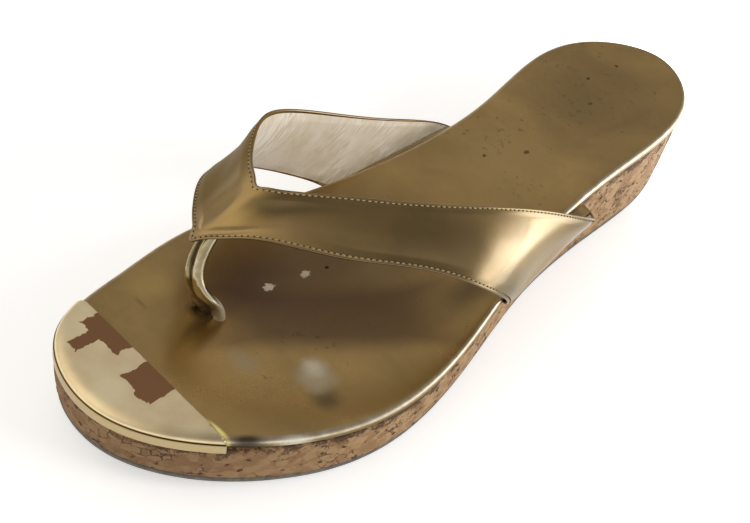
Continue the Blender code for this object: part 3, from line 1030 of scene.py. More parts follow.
def stitch_tree() -> Tree:
    """A tree that lays stitches along a line: a thread bead between each two holes."""
    tree, given = start_tree("stitches", {
        "Pitch": 2.0 * MM, "Length": 1.5 * MM, "Width": 0.5 * MM, "Shift": 0.5, "Thread": None})
    add = partial(add_node, tree)
    line = add("GeometryNodeMeshToCurve", {0: given["Geometry"]})
    spaced = add("GeometryNodeResampleCurve", {"Curve": line, "Length": given["Pitch"]}, mode="LENGTH")
    tangent = add("GeometryNodeInputTangent")
    step = add("ShaderNodeMath", {0: given["Pitch"], 1: given["Shift"]}, operation="MULTIPLY")
    ahead = add("ShaderNodeVectorMath", {0: tangent, "Scale": step}, operation="SCALE")
    shifted = add("GeometryNodeSetPosition", {"Geometry": spaced, "Offset": ahead})
    turn = add("FunctionNodeAlignRotationToVector", {"Vector": tangent}, axis="X")
    ball = add("GeometryNodeMeshUVSphere", {"Segments": 8, "Rings": 6, "Radius": 0.5})
    size = add("ShaderNodeCombineXYZ", {0: given["Length"], 1: given["Width"], 2: given["Width"]})
    bead = add("GeometryNodeTransform", {"Geometry": ball, "Scale": size})
    placed = add("GeometryNodeInstanceOnPoints", {"Points": shifted, "Instance": bead, "Rotation": turn})
    end_tree(tree, placed, given["Thread"])
    return tree


def fleck_tree() -> Tree:
    """A tree that scatters flat ragged flakes of bark over the faces marked as side."""
    tree, given = start_tree("bark_flecks", {
        "Density": 9000.0, "Smallest": 0.5 * MM, "Largest": 1.6 * MM, "Seed": SEED, "Bark": None})
    add = partial(add_node, tree)
    where = add("GeometryNodeInputNamedAttribute", {"Name": "side"}, data_type="FLOAT")
    density = add("ShaderNodeMath", {0: where, 1: given["Density"]}, operation="MULTIPLY")
    spread = add("GeometryNodeDistributePointsOnFaces", {
        "Mesh": given["Geometry"], "Density": density, "Seed": given["Seed"]},
        distribute_method="RANDOM").outputs
    size = add("FunctionNodeRandomValue", {
        2: given["Smallest"], 3: given["Largest"], 8: given["Seed"]}, data_type="FLOAT")
    angle = add("FunctionNodeRandomValue", {2: -0.9, 3: 0.9, 8: SEED + 1}, data_type="FLOAT")
    spin = add("FunctionNodeEulerToRotation", {0: add("ShaderNodeCombineXYZ", {2: angle})})
    turned = add("FunctionNodeRotateRotation", {0: spread["Rotation"], 1: spin}, rotation_space="LOCAL")
    ball = add("GeometryNodeMeshIcoSphere", {"Radius": 1.0, "Subdivisions": 2})
    spot = add("GeometryNodeInputPosition")
    lumps = add("ShaderNodeTexNoise", {"Vector": spot, "Scale": 1.7, "Detail": 2.0})
    grown = add("ShaderNodeMapRange", {"Value": lumps, "To Min": -0.7, "To Max": 0.9})
    push = add("ShaderNodeVectorMath", {0: spot, "Scale": grown}, operation="SCALE")
    ragged = add("GeometryNodeSetPosition", {"Geometry": ball, "Offset": push})
    flake = add("GeometryNodeTransform", {"Geometry": ragged, "Scale": (1.0, 0.5, 0.10)})
    placed = add("GeometryNodeInstanceOnPoints", {
        "Points": spread["Points"], "Instance": flake, "Rotation": turned, "Scale": size})
    end_tree(tree, placed, given["Bark"])
    return tree


def relief_tree() -> Tree:
    """A tree that lifts and sinks the cork's granules and opens the cracks between them."""
    tree, given = start_tree("cork_relief", {
        "Granule": 5.0 * MM, "Lift": 0.16 * MM, "Crack": 0.25 * MM, "Squash": 1.0, "Cork": None})
    add = partial(add_node, tree)
    stretch = add("ShaderNodeCombineXYZ", {0: 1.0, 1: 1.0, 2: given["Squash"]})
    flat = add("ShaderNodeVectorMath", {0: add("GeometryNodeInputPosition"), 1: stretch},
               operation="MULTIPLY")
    scale = add("ShaderNodeMath", {0: 1.0, 1: given["Granule"]}, operation="DIVIDE")
    cells, gap = (add("ShaderNodeTexVoronoi", {"Vector": flat, "Scale": scale}, feature=feature)
                  for feature in ("F1", "DISTANCE_TO_EDGE"))
    split = add("ShaderNodeSeparateXYZ", {0: cells.outputs["Color"]})
    centred = add("ShaderNodeMath", {0: split, 1: 0.5}, operation="SUBTRACT")
    lift = add("ShaderNodeMath", {0: centred, 1: given["Lift"]}, operation="MULTIPLY")
    sunk = add("ShaderNodeMapRange", {
        "Value": gap, "From Min": 0.0, "From Max": 0.12, "To Min": -1.0, "To Max": 0.0})
    crack = add("ShaderNodeMath", {0: sunk, 1: given["Crack"], 2: lift}, operation="MULTIPLY_ADD")
    where = add("GeometryNodeInputNamedAttribute", {"Name": "side"}, data_type="FLOAT")
    height = add("ShaderNodeMath", {0: crack, 1: where}, operation="MULTIPLY")
    push = add("ShaderNodeVectorMath", {0: add("GeometryNodeInputNormal"), "Scale": height},
               operation="SCALE")
    moved = add("GeometryNodeSetPosition", {"Geometry": given["Geometry"], "Offset": push})
    end_tree(tree, moved, given["Cork"])
    return tree


# ------------------------------------------------------------------ the sole
@dataclass(frozen=True)
class Outsole:
    """Thin moulded sole under the cork."""

    last: Last
    flare: Flare
    setback: float = 0.3
    edge_round: float = 0.6
    round_rings: int = 5
    half: int = 150
    divisions: int = 24

    def build(self, finish: Finish) -> Piece:
        """Build the sole with its lower edge rounded."""
        stations, _ = self.last.stations(self.half)
        edge = self.flare.at(stations[:, 0])[1] - self.setback
        rings = []
        for turn in np.linspace(0, math.pi / 2, self.round_rings):
            inset, lift = 1 - math.sin(turn), 1 - math.cos(turn)
            rings.append((edge - self.edge_round * inset, self.height(self.edge_round * lift)))
        rings.append((edge, self.height(self.last.outsole_thickness)))
        return sole_solid(self.last, "outsole_visual", self.half, rings, self.divisions, finish.build())

    def height(self, lift: float) -> Height:
        """The height function of a ring that stands a lift above the ground line."""
        return lambda along, across: self.last.ground(along) + lift


@dataclass(frozen=True)
class CorkWedge:
    """Cork wedge with its granules lifted and sunk, and bark flecks pressed into its side."""

    last: Last
    flare: Flare
    belly: float = 0.15
    top_round: float = 0.5
    top_rings: tuple[tuple[float, float], ...] = ((0.15, 0.15), (0.5, 0.0))
    crumbly_from: float = 0.55
    half: int = 330
    layers: int = 30
    divisions: int = 24
    granule: float = 5.0
    squash: float = 1.6
    relief: float = 0.14
    crack: float = 0.22
    fleck_density: float = 22000.0
    smallest_fleck: float = 0.30
    largest_fleck: float = 0.85

    def build(self, finish: GranulatedCork) -> tuple[Piece, Piece]:
        """Build the wedge and its flecks."""
        stations, _ = self.last.stations(self.half)
        upper, lower = self.flare.at(stations[:, 0])
        rings, side, rim = [], [], []
        for share in np.linspace(0, 1, self.layers):
            grow = lower * (1 - share) + upper * share + self.belly * 4 * share * (1 - share)
            rings.append((grow, self.height(share, -self.top_round)))
            side.append(1.0 if 0.0 < share < 1.0 else 0.4)
            rim.append(max(0.0, share - self.crumbly_from) / (1 - self.crumbly_from))
        for inset, drop in self.top_rings:
            rings.append((upper - inset, self.height(1.0, -drop)))
            side.append(0.0)
            rim.append(1.0)
        cork = finish.build()
        piece = sole_solid(self.last, "cork_wedge_visual", self.half, rings, self.divisions, cork)
        for name, values in (("side", side), ("rim", rim)):
            store_number(piece, name, np.repeat(values, len(stations)))
        flecks = place_object("bark_flecks", piece.data.copy())
        apply_tree(piece, relief_tree(), {
            "Granule": self.granule * MM, "Lift": self.relief * MM, "Crack": self.crack * MM,
            "Squash": self.squash, "Cork": cork})
        # bark is darker than the cork round it, and as dull
        bark = PlainFinish("dark_bark", light="#6b4428", dark="#38210f", size=0.9, rough=0.85)
        apply_tree(flecks, fleck_tree(), {
            "Density": self.fleck_density, "Smallest": self.smallest_fleck * MM,
            "Largest": self.largest_fleck * MM, "Seed": SEED, "Bark": bark.build()})
        return piece, flecks

    def height(self, share: float, lift: float) -> Height:
        """The height function of a ring at a share of the way from the seat to the lid."""
        last = self.last

        def level(along: Array, _: Array) -> Array:
            """Height between the outsole and the footbed, less the rounding at the top."""
            seat = last.ground(along) + last.outsole_thickness + last.seam_gap
            lid = last.top(along) - last.footbed_thickness - last.seam_gap
            return seat * (1 - share) + (lid + lift) * share
        return level


@dataclass(frozen=True)
class Footbed:
    """Leather covered board: a rolled edge, and a top pressed in by the foot."""

    last: Last
    half: int = 260
    edge_points: int = 34
    divisions: int = 84
    grime_and_shade_start: float = 1.1
    grime_and_shade_fade: float = 0.8
    highlight_and_wear_start: float = 0.08
    highlight_and_wear_end: float = 1.7
    highlight_and_wear_fade: tuple[float, float] = (0.2, 0.5)
    dents: tuple[Dent, ...] = (
        Dent("heel cup", 34.0, 1.0, 26.0, 15.0, 0.7),
        Dent("ball, inner", 170.0, -12.0, 24.0, 17.0, 0.35),
        Dent("ball, outer", 172.0, 18.0, 22.0, 15.0, 0.45),
        Dent("big toe", 214.0, -23.0, 11.0, 9.0, 0.3),
        Dent("little toes", 208.0, 16.0, 9.0, 14.0, 0.25),
        Dent("post slot", 201.0, -11.0, 5.0, 5.5, 0.35),
    )

    def build(self, finish: Finish) -> Piece:
        """Build the footbed; mark its edge's lower wall, partly painted shade, and its corner, partly
        painted highlight.
        """
        section = self.last.rolled(self.edge_points)
        rings = [(grow, self.height(lift)) for grow, lift in section]
        piece = sole_solid(self.last, "footbed_visual", self.half, rings, self.divisions, finish.build())
        drop = -section[:, 1]
        # the roll's lower wall is partly painted shade, for the dark ground it mirrors; its top corner
        # partly a painted highlight
        grime_and_shade_mask = np.clip((drop - self.grime_and_shade_start) / self.grime_and_shade_fade, 0, 1)
        worn = np.clip((drop - self.highlight_and_wear_start) / self.highlight_and_wear_fade[0], 0, 1)
        worn = worn * np.clip((self.highlight_and_wear_end - drop) / self.highlight_and_wear_fade[1], 0, 1)
        for name, values in (("rim", grime_and_shade_mask), ("corner", worn)):
            store_number(piece, name, np.repeat(values, 2 * self.half))
        return piece

    def height(self, lift: float) -> Height:
        """The height function of a ring: the top with its dents, less the edge's drop."""
        return lambda along, across: self.last.top(along) + lift - dent_depth(self.dents, along, across)


@dataclass(frozen=True)
class ToePlate:
    """Thin metal cap over the toe, its lip folded down over the footbed's edge."""

    last: Last
    wall: float = 0.6
    back: float = 228.8
    slant: float = 0.046
    corner: float = 3.0
    crease: float = -1.30
    crease_reach: float = 0.11
    lip_tone: float = 0.5
    soft_rim: float = 0.16
    rim_angle: float = 50.0
    open_below: float = -0.7
    skirt: float = 3.0
    half: int = 420
    divisions: int = 30
    section: tuple[PlateMark, ...] = (
        PlateMark(1.10, -4.3),
        PlateMark(1.12, -3.2),
        PlateMark(1.10, -1.95),
        PlateMark(1.05, -1.52),
        PlateMark(0.92, -1.36),
        PlateMark(0.78, -1.32),
        PlateMark(0.70, -1.20),
        PlateMark(0.66, -0.85),
        PlateMark(0.52, -0.42),
        PlateMark(0.20, 0.02),
        PlateMark(-0.45, 0.45),
        PlateMark(-1.40, 0.78),
        PlateMark(-2.60, 0.97),
        PlateMark(-4.60, 1.0),
    )

    def build(self, finish: Finish) -> Piece:
        """Build the cap's outer skin, cut it, and give it its wall and soft rims."""
        start = self.section[0]
        marks = (PlateMark(start.out - self.skirt, start.lift), *self.section)
        rings = [(mark.out, self.height(mark.lift)) for mark in marks]
        piece = sole_solid(self.last, "toe_plate_visual", self.half, rings, self.divisions, finish.build())
        # 1 in the crease, for its painted shadow line; lip_tone below it, for the lip's painted shade
        tone = [1.0 if abs(mark.lift - self.crease) < self.crease_reach
                else self.lip_tone * (mark.lift < self.crease) for mark in marks]
        store_number(piece, "rim", np.repeat(tone, 2 * self.half))
        self.cut(piece)
        wall = piece.modifiers.new("wall", "SOLIDIFY")
        wall.thickness = self.wall * MM
        wall.offset = -1.0
        wall.use_even_offset = True
        rim = piece.modifiers.new("rim", "BEVEL")
        rim.width = self.soft_rim * MM
        rim.segments = 2
        rim.limit_method = "ANGLE"
        rim.angle_limit = math.radians(self.rim_angle)
        return piece

    def height(self, lift: float) -> Height:
        """The height function of a ring at a lift from the footbed's top."""
        return lambda along, across: self.last.top(along) + lift

    def cut(self, piece: Piece) -> None:
        """Cut away the skin behind the plate, round its inner corner and open it below."""
        body = bmesh.new()
        body.from_mesh(piece.data)
        below = [face for face in body.faces if face.normal.z < self.open_below]
        bmesh.ops.delete(body, geom=below, context="FACES")
        lean = math.atan(self.slant)
        across = self.last.edge_across(self.back, Side.INNER) - self.section[0].out + self.corner
        centre = np.array((self.back + self.slant * across + self.corner, across))
        for turn in np.radians(range(0, 90, 15)) - lean:
            ahead = np.array((math.cos(turn), math.sin(turn)))
            place = to_metres((*(centre - ahead * self.corner), 0.0))
            bmesh.ops.bisect_plane(
                body, geom=body.verts[:] + body.edges[:] + body.faces[:], dist=1e-7,
                plane_co=Vector(place), plane_no=Vector((ahead[1], -ahead[0], 0.0)), clear_inner=True)
        body.to_mesh(piece.data)
        body.free()


# ------------------------------------------------------------------ the strap
def swelling(swells: Sequence[Swell], run: Array) -> Array:
    """How far a list of swells moves an edge outwards, as a column with a row for each run."""
    return sum(swell.height * bell(run - swell.run, swell.reach) for swell in swells)[:, None]


@dataclass(frozen=True)
class StrapShape:
    """The strap's middle surface: two edges and a sag between them, over both arms."""

    last: Last
    wall: float = 2.0
    steps: int = 300
    fine_steps: int = 3000
    front_swells: tuple[Swell, ...] = (Swell("tip", -2.4, 3.0, 2.6),)
    rear_swells: tuple[Swell, ...] = (
        Swell("full beside the notch", 8.0, 5.0, 0.5), Swell("notch", 0.0, 1.8, -1.3))
    inner_root: tuple[float, float] = (136.5, 86.5)
    outer_root: tuple[float, float] = (131.0, 82.5)
    inner_arm: tuple[StrapSection, ...] = (
        StrapSection("side", 138.0, -34.2, 16.8, 91.0, -26.0, 24.8, 0.4),
        StrapSection("flank", 147.5, -38.2, 22.4, 108.5, -31.0, 30.8, 1.0),
        StrapSection("shoulder", 163.5, -42.0, 31.0, 133.0, -35.5, 41.2, 1.4),
        StrapSection("crest", 182.0, -39.6, 38.8, 158.5, -36.5, 53.4, 1.6),
        StrapSection("brow", 195.5, -29.5, 42.3, 174.5, -29.5, 57.6, 1.4),
    )
    apex: StrapSection = StrapSection("apex", 204.0, -17.2, 45.2, 187.5, -14.2, 57.6, 0.8)
    outer_arm: tuple[StrapSection, ...] = (
        StrapSection("brow", 198.0, -6.8, 49.0, 177.5, -2.6, 56.6, 1.2),
        StrapSection("crest", 184.0, 12.2, 49.0, 157.8, 14.0, 55.2, 1.6),
        StrapSection("shoulder", 165.0, 29.2, 46.0, 130.4, 29.2, 49.6, 1.8),
        StrapSection("flank", 149.4, 40.0, 37.0, 108.0, 36.0, 39.8, 2.4),
        StrapSection("side", 133.4, 38.0, 21.2, 91.0, 37.0, 29.4, 2.2),
    )
    turn_ins: tuple[TurnIn, ...] = (
        TurnIn("hidden edge", -9.0, 1.6, -9.0, 1.6),
        TurnIn("mouth", -1.0, 1.6, -1.0, 1.9),
        TurnIn("bend", 0.75, 1.3, 2.8, 3.0),
    )

    def root_rows(self, side: Side, ends: tuple[float, float]) -> list[tuple[float, ...]]:
        """Sections of an arm's turned-in end, from the hidden edge outwards."""
        rows = []
        for turn in self.turn_ins:
            row = []
            for along, out, drop in ((ends[0], turn.front_out, turn.front_drop),
                                     (ends[1], turn.rear_out, turn.rear_drop)):
                across = self.last.edge_across(along, side) + side.value * out
                level = float(self.last.top(along)) - self.last.footbed_thickness - drop
                row.extend((along, across, level))
            rows.append((*row, 0.0))
        return rows

    def trace(self) -> "StrapTrace":
        """Read the sections at even steps along the strap."""
        rows = self.root_rows(Side.INNER, self.inner_root)
        rows += [section[1:] for section in self.inner_arm]
        turning = len(rows)
        rows += [self.apex[1:]] + [section[1:] for section in self.outer_arm]
        rows += self.root_rows(Side.OUTER, self.outer_root)[::-1]
        table = np.array(rows, float)
        knots = chord_knots(0.5 * (table[:, 0:3] + table[:, 3:6]))
        fine = np.linspace(0, knots[-1], self.fine_steps)
        dense = spline(knots, table, fine)
        lengths = arc_lengths(0.5 * (dense[:, 0:3] + dense[:, 3:6]))
        even = np.linspace(0, lengths[-1], self.steps + 1)
        line = np.column_stack([np.interp(even, lengths, column) for column in dense.T])
        run = even - np.interp(knots[turning], fine, lengths)
        front, rear, sag = line[:, 0:3], line[:, 3:6], line[:, 6]
        over = unit(rear - front)
        front = front - over * swelling(self.front_swells, run)
        rear = rear + over * swelling(self.rear_swells, run)
        heading = np.gradient(0.5 * (front + rear), axis=0)
        return StrapTrace(front, rear, sag, unit(np.cross(heading, rear - front)), run)


@dataclass(frozen=True)
class StrapTrace:
    """The strap's edges, sag and outward direction, step by step along its run."""

    front: Array
    rear: Array
    sag: Array
    outward: Array
    run: Array

    @property
    def width(self) -> Array:
        """The strap's width at each step."""
        return np.linalg.norm(self.rear - self.front, axis=1)

    def points(self, distance: Array, offset: Array) -> Array:
        """Points on the strap, one for each step and column.

        Args:
            distance: From the front edge, in millimetres, one for each step and column.
            offset: Outwards from the middle surface, likewise.

        Returns:
            Rows (along, across, height) for each step and column.
        """
        width = self.width[:, None]
        share = distance / width
        over = unit(self.rear - self.front)[:, None, :]
        out = self.outward[:, None, :]
        sag = self.sag[:, None]
        slope = -4 * (1 - 2 * share) * sag / width
        normal = unit(out - slope[:, :, None] * over)
        height = -4 * share * (1 - share) * sag
        middle = self.front[:, None, :] + over * distance[:, :, None] + out * height[:, :, None]
        return middle + normal * np.broadcast_to(offset, distance.shape)[:, :, None]


def crease_depth(creases: Sequence[Crease], run: Array, share: Array, width: Array) -> Array:
    """How far a list of creases sinks the strap's face."""
    depth = np.zeros(np.broadcast(run, share).shape)
    for crease in creases:
        lean = math.radians(crease.lean)
        ahead = run - crease.run
        sideways = (share - crease.share) * width
        along = sideways * math.cos(lean) + ahead * math.sin(lean)
        off = ahead * math.cos(lean) - sideways * math.sin(lean)
        depth += crease.depth * bell(along, crease.half_length) * bell(off, crease.half_width)
    return depth


def band_body(name: str, grid: Array, material: Material) -> Piece:
    """A closed body through section loops, one loop for each step, with its ends closed."""
    steps, count = grid.shape[:2]
    faces = ring_faces(steps, count)
    faces.append(tuple(range(count)))
    faces.append(tuple(range((steps - 1) * count, steps * count)))
    return make_piece(name, grid.reshape(-1, 3), faces, material)


@dataclass(frozen=True)
class ThongUpper:
    """Both arms of the strap in one folded band, its edges rolled, its face creased."""

    shape: StrapShape
    stitch_inset: float = 1.2
    trough: float = 0.10
    trough_reach: float = 0.45
    pillow: float = 0.12
    pillow_reach: float = 3.5
    lining_share: float = 0.3
    edge_radius: float = 0.48
    edge_points: int = 9
    taper: float = 4.0
    middle_columns: int = 46
    near_edge: tuple[float, ...] = (0.48, 0.66, 0.84, 1.02, 1.2, 1.38, 1.6, 2.0, 2.8, 3.8)
    creases: tuple[Crease, ...] = (
        Crease("apex ridge", 0.2, 0.66, 6.0, 6.0, 2.2, -0.55),
        Crease("fold beside the ridge", -4.0, 0.45, 24.0, 8.0, 2.4, 0.30),
        Crease("hollow behind the front edge", 4.0, 0.15, 86.0, 9.0, 1.5, 0.95),
        Crease("long trough under the rear edge, outer", 26.0, 0.70, 86.0, 22.0, 3.6, 0.22),
        Crease("long swell at the front edge, outer", 24.0, 0.28, 88.0, 24.0, 4.0, -0.20),
        Crease("drape, inner arm", -24.0, 0.5, -70.0, 16.0, 4.5, 0.20),
    )

    def columns(self, width: Array) -> Array:
        """Distances from the front edge, close together beside both edges."""
        near = np.array(self.near_edge)
        shares = np.linspace(0, 1, self.middle_columns + 2)[1:-1]
        start, end = near[-1], width[:, None] - near[-1]
        middle = start + (end - start) * shares[None, :]
        front = np.broadcast_to(near, (len(width), len(near)))
        rear = width[:, None] - near[::-1]
        return np.concatenate((front, middle, rear), axis=1)

    def half_wall(self, trace: StrapTrace, distance: Array) -> Array:
        """Half the wall's thickness, skived thinner towards both edges."""
        edge = np.minimum(distance, trace.width[:, None] - distance)
        inside = np.clip((edge - self.edge_radius) / self.taper, 0, 1)
        thick = self.shape.wall / 2 - self.edge_radius
        return self.edge_radius + thick * inside * inside * (3 - 2 * inside)

    def lift(self, trace: StrapTrace, distance: Array, face: StrapFace) -> Array:
        """How far a face stands out from the wall's own plane."""
        width = trace.width[:, None]
        share = distance / width
        edge = np.minimum(distance, width - distance)
        inside = np.maximum(edge - self.edge_radius, 0)
        rise = self.pillow * (1 - bell(inside, self.pillow_reach))
        rise = rise - self.trough * bell(edge - self.stitch_inset, self.trough_reach)
        depth = crease_depth(self.creases, trace.run[:, None], share, width)
        return self.lining_share * depth if face is StrapFace.LINING else rise - depth

    def surface(self, trace: StrapTrace, distance: Array, face: StrapFace,
                proud: Array | float = 0.0) -> Array:
        """Points on a face of the band.

        Args:
            trace: The strap's trace.
            distance: From the front edge, one for each step and column.
            face: Which face.
            proud: How far outside the face the points stand.

        Returns:
            Rows (along, across, height) for each step and column.
        """
        half = self.half_wall(trace, distance)
        return trace.points(distance, face.value * (half + self.lift(trace, distance, face) + proud))

    def build(self, finish: Finish) -> Piece:
        """Build the band: its face, its rolled edges and its lining side in one loop."""
        trace = self.shape.trace()
        distance = self.columns(trace.width)
        face, lining = (self.surface(trace, distance, side) for side in (StrapFace.FACE, StrapFace.LINING))
        turn = np.linspace(0, math.pi, self.edge_points)[1:-1]
        width, small = trace.width[:, None], self.edge_radius
        bulge, level = small * np.sin(turn), small * np.cos(turn)
        front = trace.points(np.broadcast_to(small - bulge, (len(width), len(turn))), -level)
        rear = trace.points(width - small + bulge, level)
        grid = np.concatenate((face, rear, lining[:, ::-1], front), axis=1)
        piece = band_body("thong_upper_visual", grid, finish.build())
        flat, edge = np.zeros(face.shape[1]), np.sin(turn)
        store_number(piece, "rim", np.tile(np.concatenate((flat, edge, flat, edge)), len(grid)))
        return piece


@dataclass(frozen=True)
class StrapLining:
    """Thin lining glued inside the strap, a border's width in from the folded edges."""

    upper: ThongUpper
    border: float = 0.9
    proud: float = 0.12
    sunk: float = 0.08
    depth: float = 0.4
    rise: float = 0.35
    ends: tuple[float, ...] = (0.0, 0.12, 0.4, 0.8)
    root_left: int = 14
    lean: float = 0.5

    def build(self, finish: Finish) -> Piece:
        """Build the lining as a closed thin sheet with a map whose lines its creases follow."""
        trace = self.upper.shape.trace()
        width = trace.width[:, None]
        shares = np.linspace(0, 1, self.upper.middle_columns + 2)
        inset, ends = self.border + self.ends[-1], np.array(self.ends[:-1])
        distance = np.concatenate((
            np.broadcast_to(self.border + ends, (len(width), len(ends))),
            inset + (width - 2 * inset) * shares[None, :], width - self.border - ends[::-1]), axis=1)
        edge = np.minimum(distance, width - distance) - self.border
        proud = self.proud * np.clip(edge / self.rise, 0, 1) ** 0.5 - self.sunk
        outside = self.upper.surface(trace, distance, StrapFace.LINING, proud)
        inside = trace.points(distance, self.depth - self.upper.half_wall(trace, distance))
        grid = np.concatenate((outside, inside[:, ::-1]), axis=1)
        kept = slice(self.root_left, len(grid) - self.root_left)
        piece = band_body("strap_lining", grid[kept], finish.build())
        both = np.concatenate((distance, distance[:, ::-1]), axis=1)
        across = (np.abs(trace.run)[:, None] + self.lean * both) / math.hypot(1.0, self.lean)
        places = np.stack((across, both), axis=-1) / MAP_UNIT
        store_map(piece, "crease", places[kept].reshape(-1, 2))
        return piece


@dataclass(frozen=True)
class ToePost:
    """Folded leather post between the toes: two rolled folds with a wandering groove."""

    roundness: float = 0.85
    corners: int = 56
    rings: int = 90
    groove: float = 0.62
    groove_width: float = 0.15
    groove_offset: float = 0.17
    groove_follow: float = 0.2
    groove_spread: float = 0.3
    wander: float = 0.05
    wander_wave: float = 0.32
    wander_start: float = 0.6
    wrinkle: float = 0.05
    waves: tuple[Wave, ...] = (
        Wave("broad", 1.0, 1.1, 1.2, 0.0),
        Wave("narrow", 0.6, 2.3, -0.9, 1.0),
    )
    swell: float = 0.5
    swell_place: float = 12.0
    swell_reach: float = 7.0
    flare_place: float = 10.5
    flare_reach: float = 6.0
    flare: float = 3.4
    lead: float = 2.2
    sections: tuple[PostSection, ...] = (
        PostSection("root", 200.6, -10.8, 13.2, 4.6, 3.4),
        PostSection("footbed", 201.0, -11.0, 19.2, 4.6, 3.4),
        PostSection("low", 202.8, -11.9, 24.5, 5.0, 3.4),
        PostSection("bow", 206.2, -14.9, 31.0, 5.8, 3.4),
        PostSection("high", 204.4, -16.9, 38.5, 5.4, 3.2),
        PostSection("lip", 198.6, -17.1, 47.2, 5.0, 2.6),
    )

    def build(self, finish: Finish) -> Piece:
        """Sweep the folded section along the post's bow."""
        rows = np.array([section[1:] for section in self.sections])
        knots = chord_knots(rows[:, 0:3])
        line = spline(knots, rows, np.linspace(0, knots[-1], self.rings))
        centre = line[:, 0:3]
        heading = unit(np.gradient(centre, axis=0))
        ahead_axis = unit(np.cross((0.0, 1.0, 0.0), heading))
        side_axis = np.cross(heading, ahead_axis)
        turn = np.linspace(0, 2 * math.pi, self.corners, endpoint=False)
        length = arc_lengths(centre)[:, None]
        width, depth = line[:, 3:4], line[:, 4:5]
        low = bell(length - self.swell_place, self.swell_reach)
        spread = bell(length - self.flare_place, self.flare_reach)
        cosine, sine = (np.sign(side) * np.abs(side) ** self.roundness
                        for side in (np.cos(turn), np.sin(turn)))
        inner = np.clip(-cosine, 0, 1)
        sideways = 0.5 * width * cosine * (1 + self.swell * low) - self.flare * spread * inner
        ahead = 0.5 * depth * sine + self.lead * spread * inner
        wander = (self.wander * width * np.sin(length * self.wander_wave + self.wander_start)
                  - self.groove_offset * width - self.groove_follow * self.flare * spread)
        cut = bell((sideways - wander) / width, self.groove_width * (1 + self.groove_spread * spread))
        ahead = ahead - np.where(sine > 0, self.groove * depth * cut, 0)
        waves = sum(wave.height * np.sin(length * wave.along + wave.across * sideways + wave.start)
                    for wave in self.waves)
        ahead = ahead + self.wrinkle * waves * np.clip(sine, 0, 1) * (1 - cut)
        grid = (centre[:, None, :] + side_axis[:, None, :] * sideways[:, :, None]
                + ahead_axis[:, None, :] * ahead[:, :, None])
        piece = band_body("toe_post_visual", grid, finish.build())
        # painted shade lies in the groove at the front, and all over the back
        front = np.clip(1.5 * sine + 0.8, 0, 1) * np.ones_like(cut)
        store_number(piece, "rim", np.clip(1.1 * cut * front + 0.8 * (1 - front), 0, 1))
        return piece


@dataclass(frozen=True)
class Stitching:
    """Rows of stitches round both edges of the strap's face."""

    upper: ThongUpper
    pitch: float = 1.6
    stitch: float = 1.05
    thread: float = 0.30
    hole: float = 0.48

    def rows(self) -> list[Array]:
        """The two stitch lines on the face, just inside the front and the rear edge."""
        trace = self.upper.shape.trace()
        inset = self.upper.stitch_inset
        return [self.upper.surface(trace, distance[:, None], StrapFace.FACE)[:, 0, :]
                for distance in (np.full(len(trace.run), inset), trace.width - inset)]

    def line_object(self, name: str) -> Piece:
        """An object whose edges are the stitch lines."""
        points, edges = [], []
        for line in self.rows():
            start = len(points)
            points.extend(line)
            edges.extend((start + step, start + step + 1) for step in range(len(line) - 1))
        mesh = bpy.data.meshes.new(name)
        mesh.from_pydata(to_metres(points).tolist(), edges, [])
        return place_object(name, mesh)

    def build(self, thread: Finish, hole: Finish) -> list[Piece]:
        """Lay the thread and the needle holes along the lines."""
        tree, pieces = stitch_tree(), []
        for name, length, width, shift, finish in (
                ("edge_stitches", self.stitch, self.thread, 0.5, thread),
                ("needle_holes", self.hole, self.hole, 0.0, hole)):
            piece = self.line_object(name)
            apply_tree(piece, tree, {
                "Pitch": self.pitch * MM, "Length": length * MM, "Width": width * MM,
                "Shift": shift, "Thread": finish.build()})
            piece.data.shade_smooth()
            pieces.append(piece)
        return pieces


# ------------------------------------------------------------------ the studio
@dataclass(frozen=True)
class Softbox:
    """A square area light: its place and size in metres from the shoe, and its power.

    A light that isn't mirrored lights dull surfaces alone, as fill.
    """

    name: str
    azimuth: float
    elevation: float
    distance: float
    size: float
    power: float
    tint: Tint = (1.0, 1.0, 1.0)
    mirrored: bool = True

    def build(self) -> None:
        """Hang the light, aimed at the shoe."""
        lamp = bpy.data.lights.new(self.name, "AREA")
        lamp.shape = "SQUARE"
        lamp.size = self.size
        lamp.energy = self.power
        lamp.color = self.tint
        holder = place_object(self.name, lamp)
        holder.location = Vector(direction(self.azimuth, self.elevation) * self.distance)
        holder.rotation_euler = holder.location.to_track_quat("Z", "Y").to_euler()
        holder.visible_glossy = self.mirrored


def direction(azimuth: float, elevation: float) -> Array:
    """Unit direction from the shoe: azimuth 0 is the toe's side, 90 the outer side."""
    turn, rise = math.radians(azimuth), math.radians(elevation)
    return np.array((math.sin(turn) * math.cos(rise), -math.cos(turn) * math.cos(rise), math.sin(rise)))


class Glow(NamedTuple):
    """A broad light (or, if its strength is negative, dark) region, its places in degrees."""

    place: str
    azimuth: float
    elevation: float
    reach: float
    strength: float
    tint: Tint = (1.0, 1.0, 1.0)


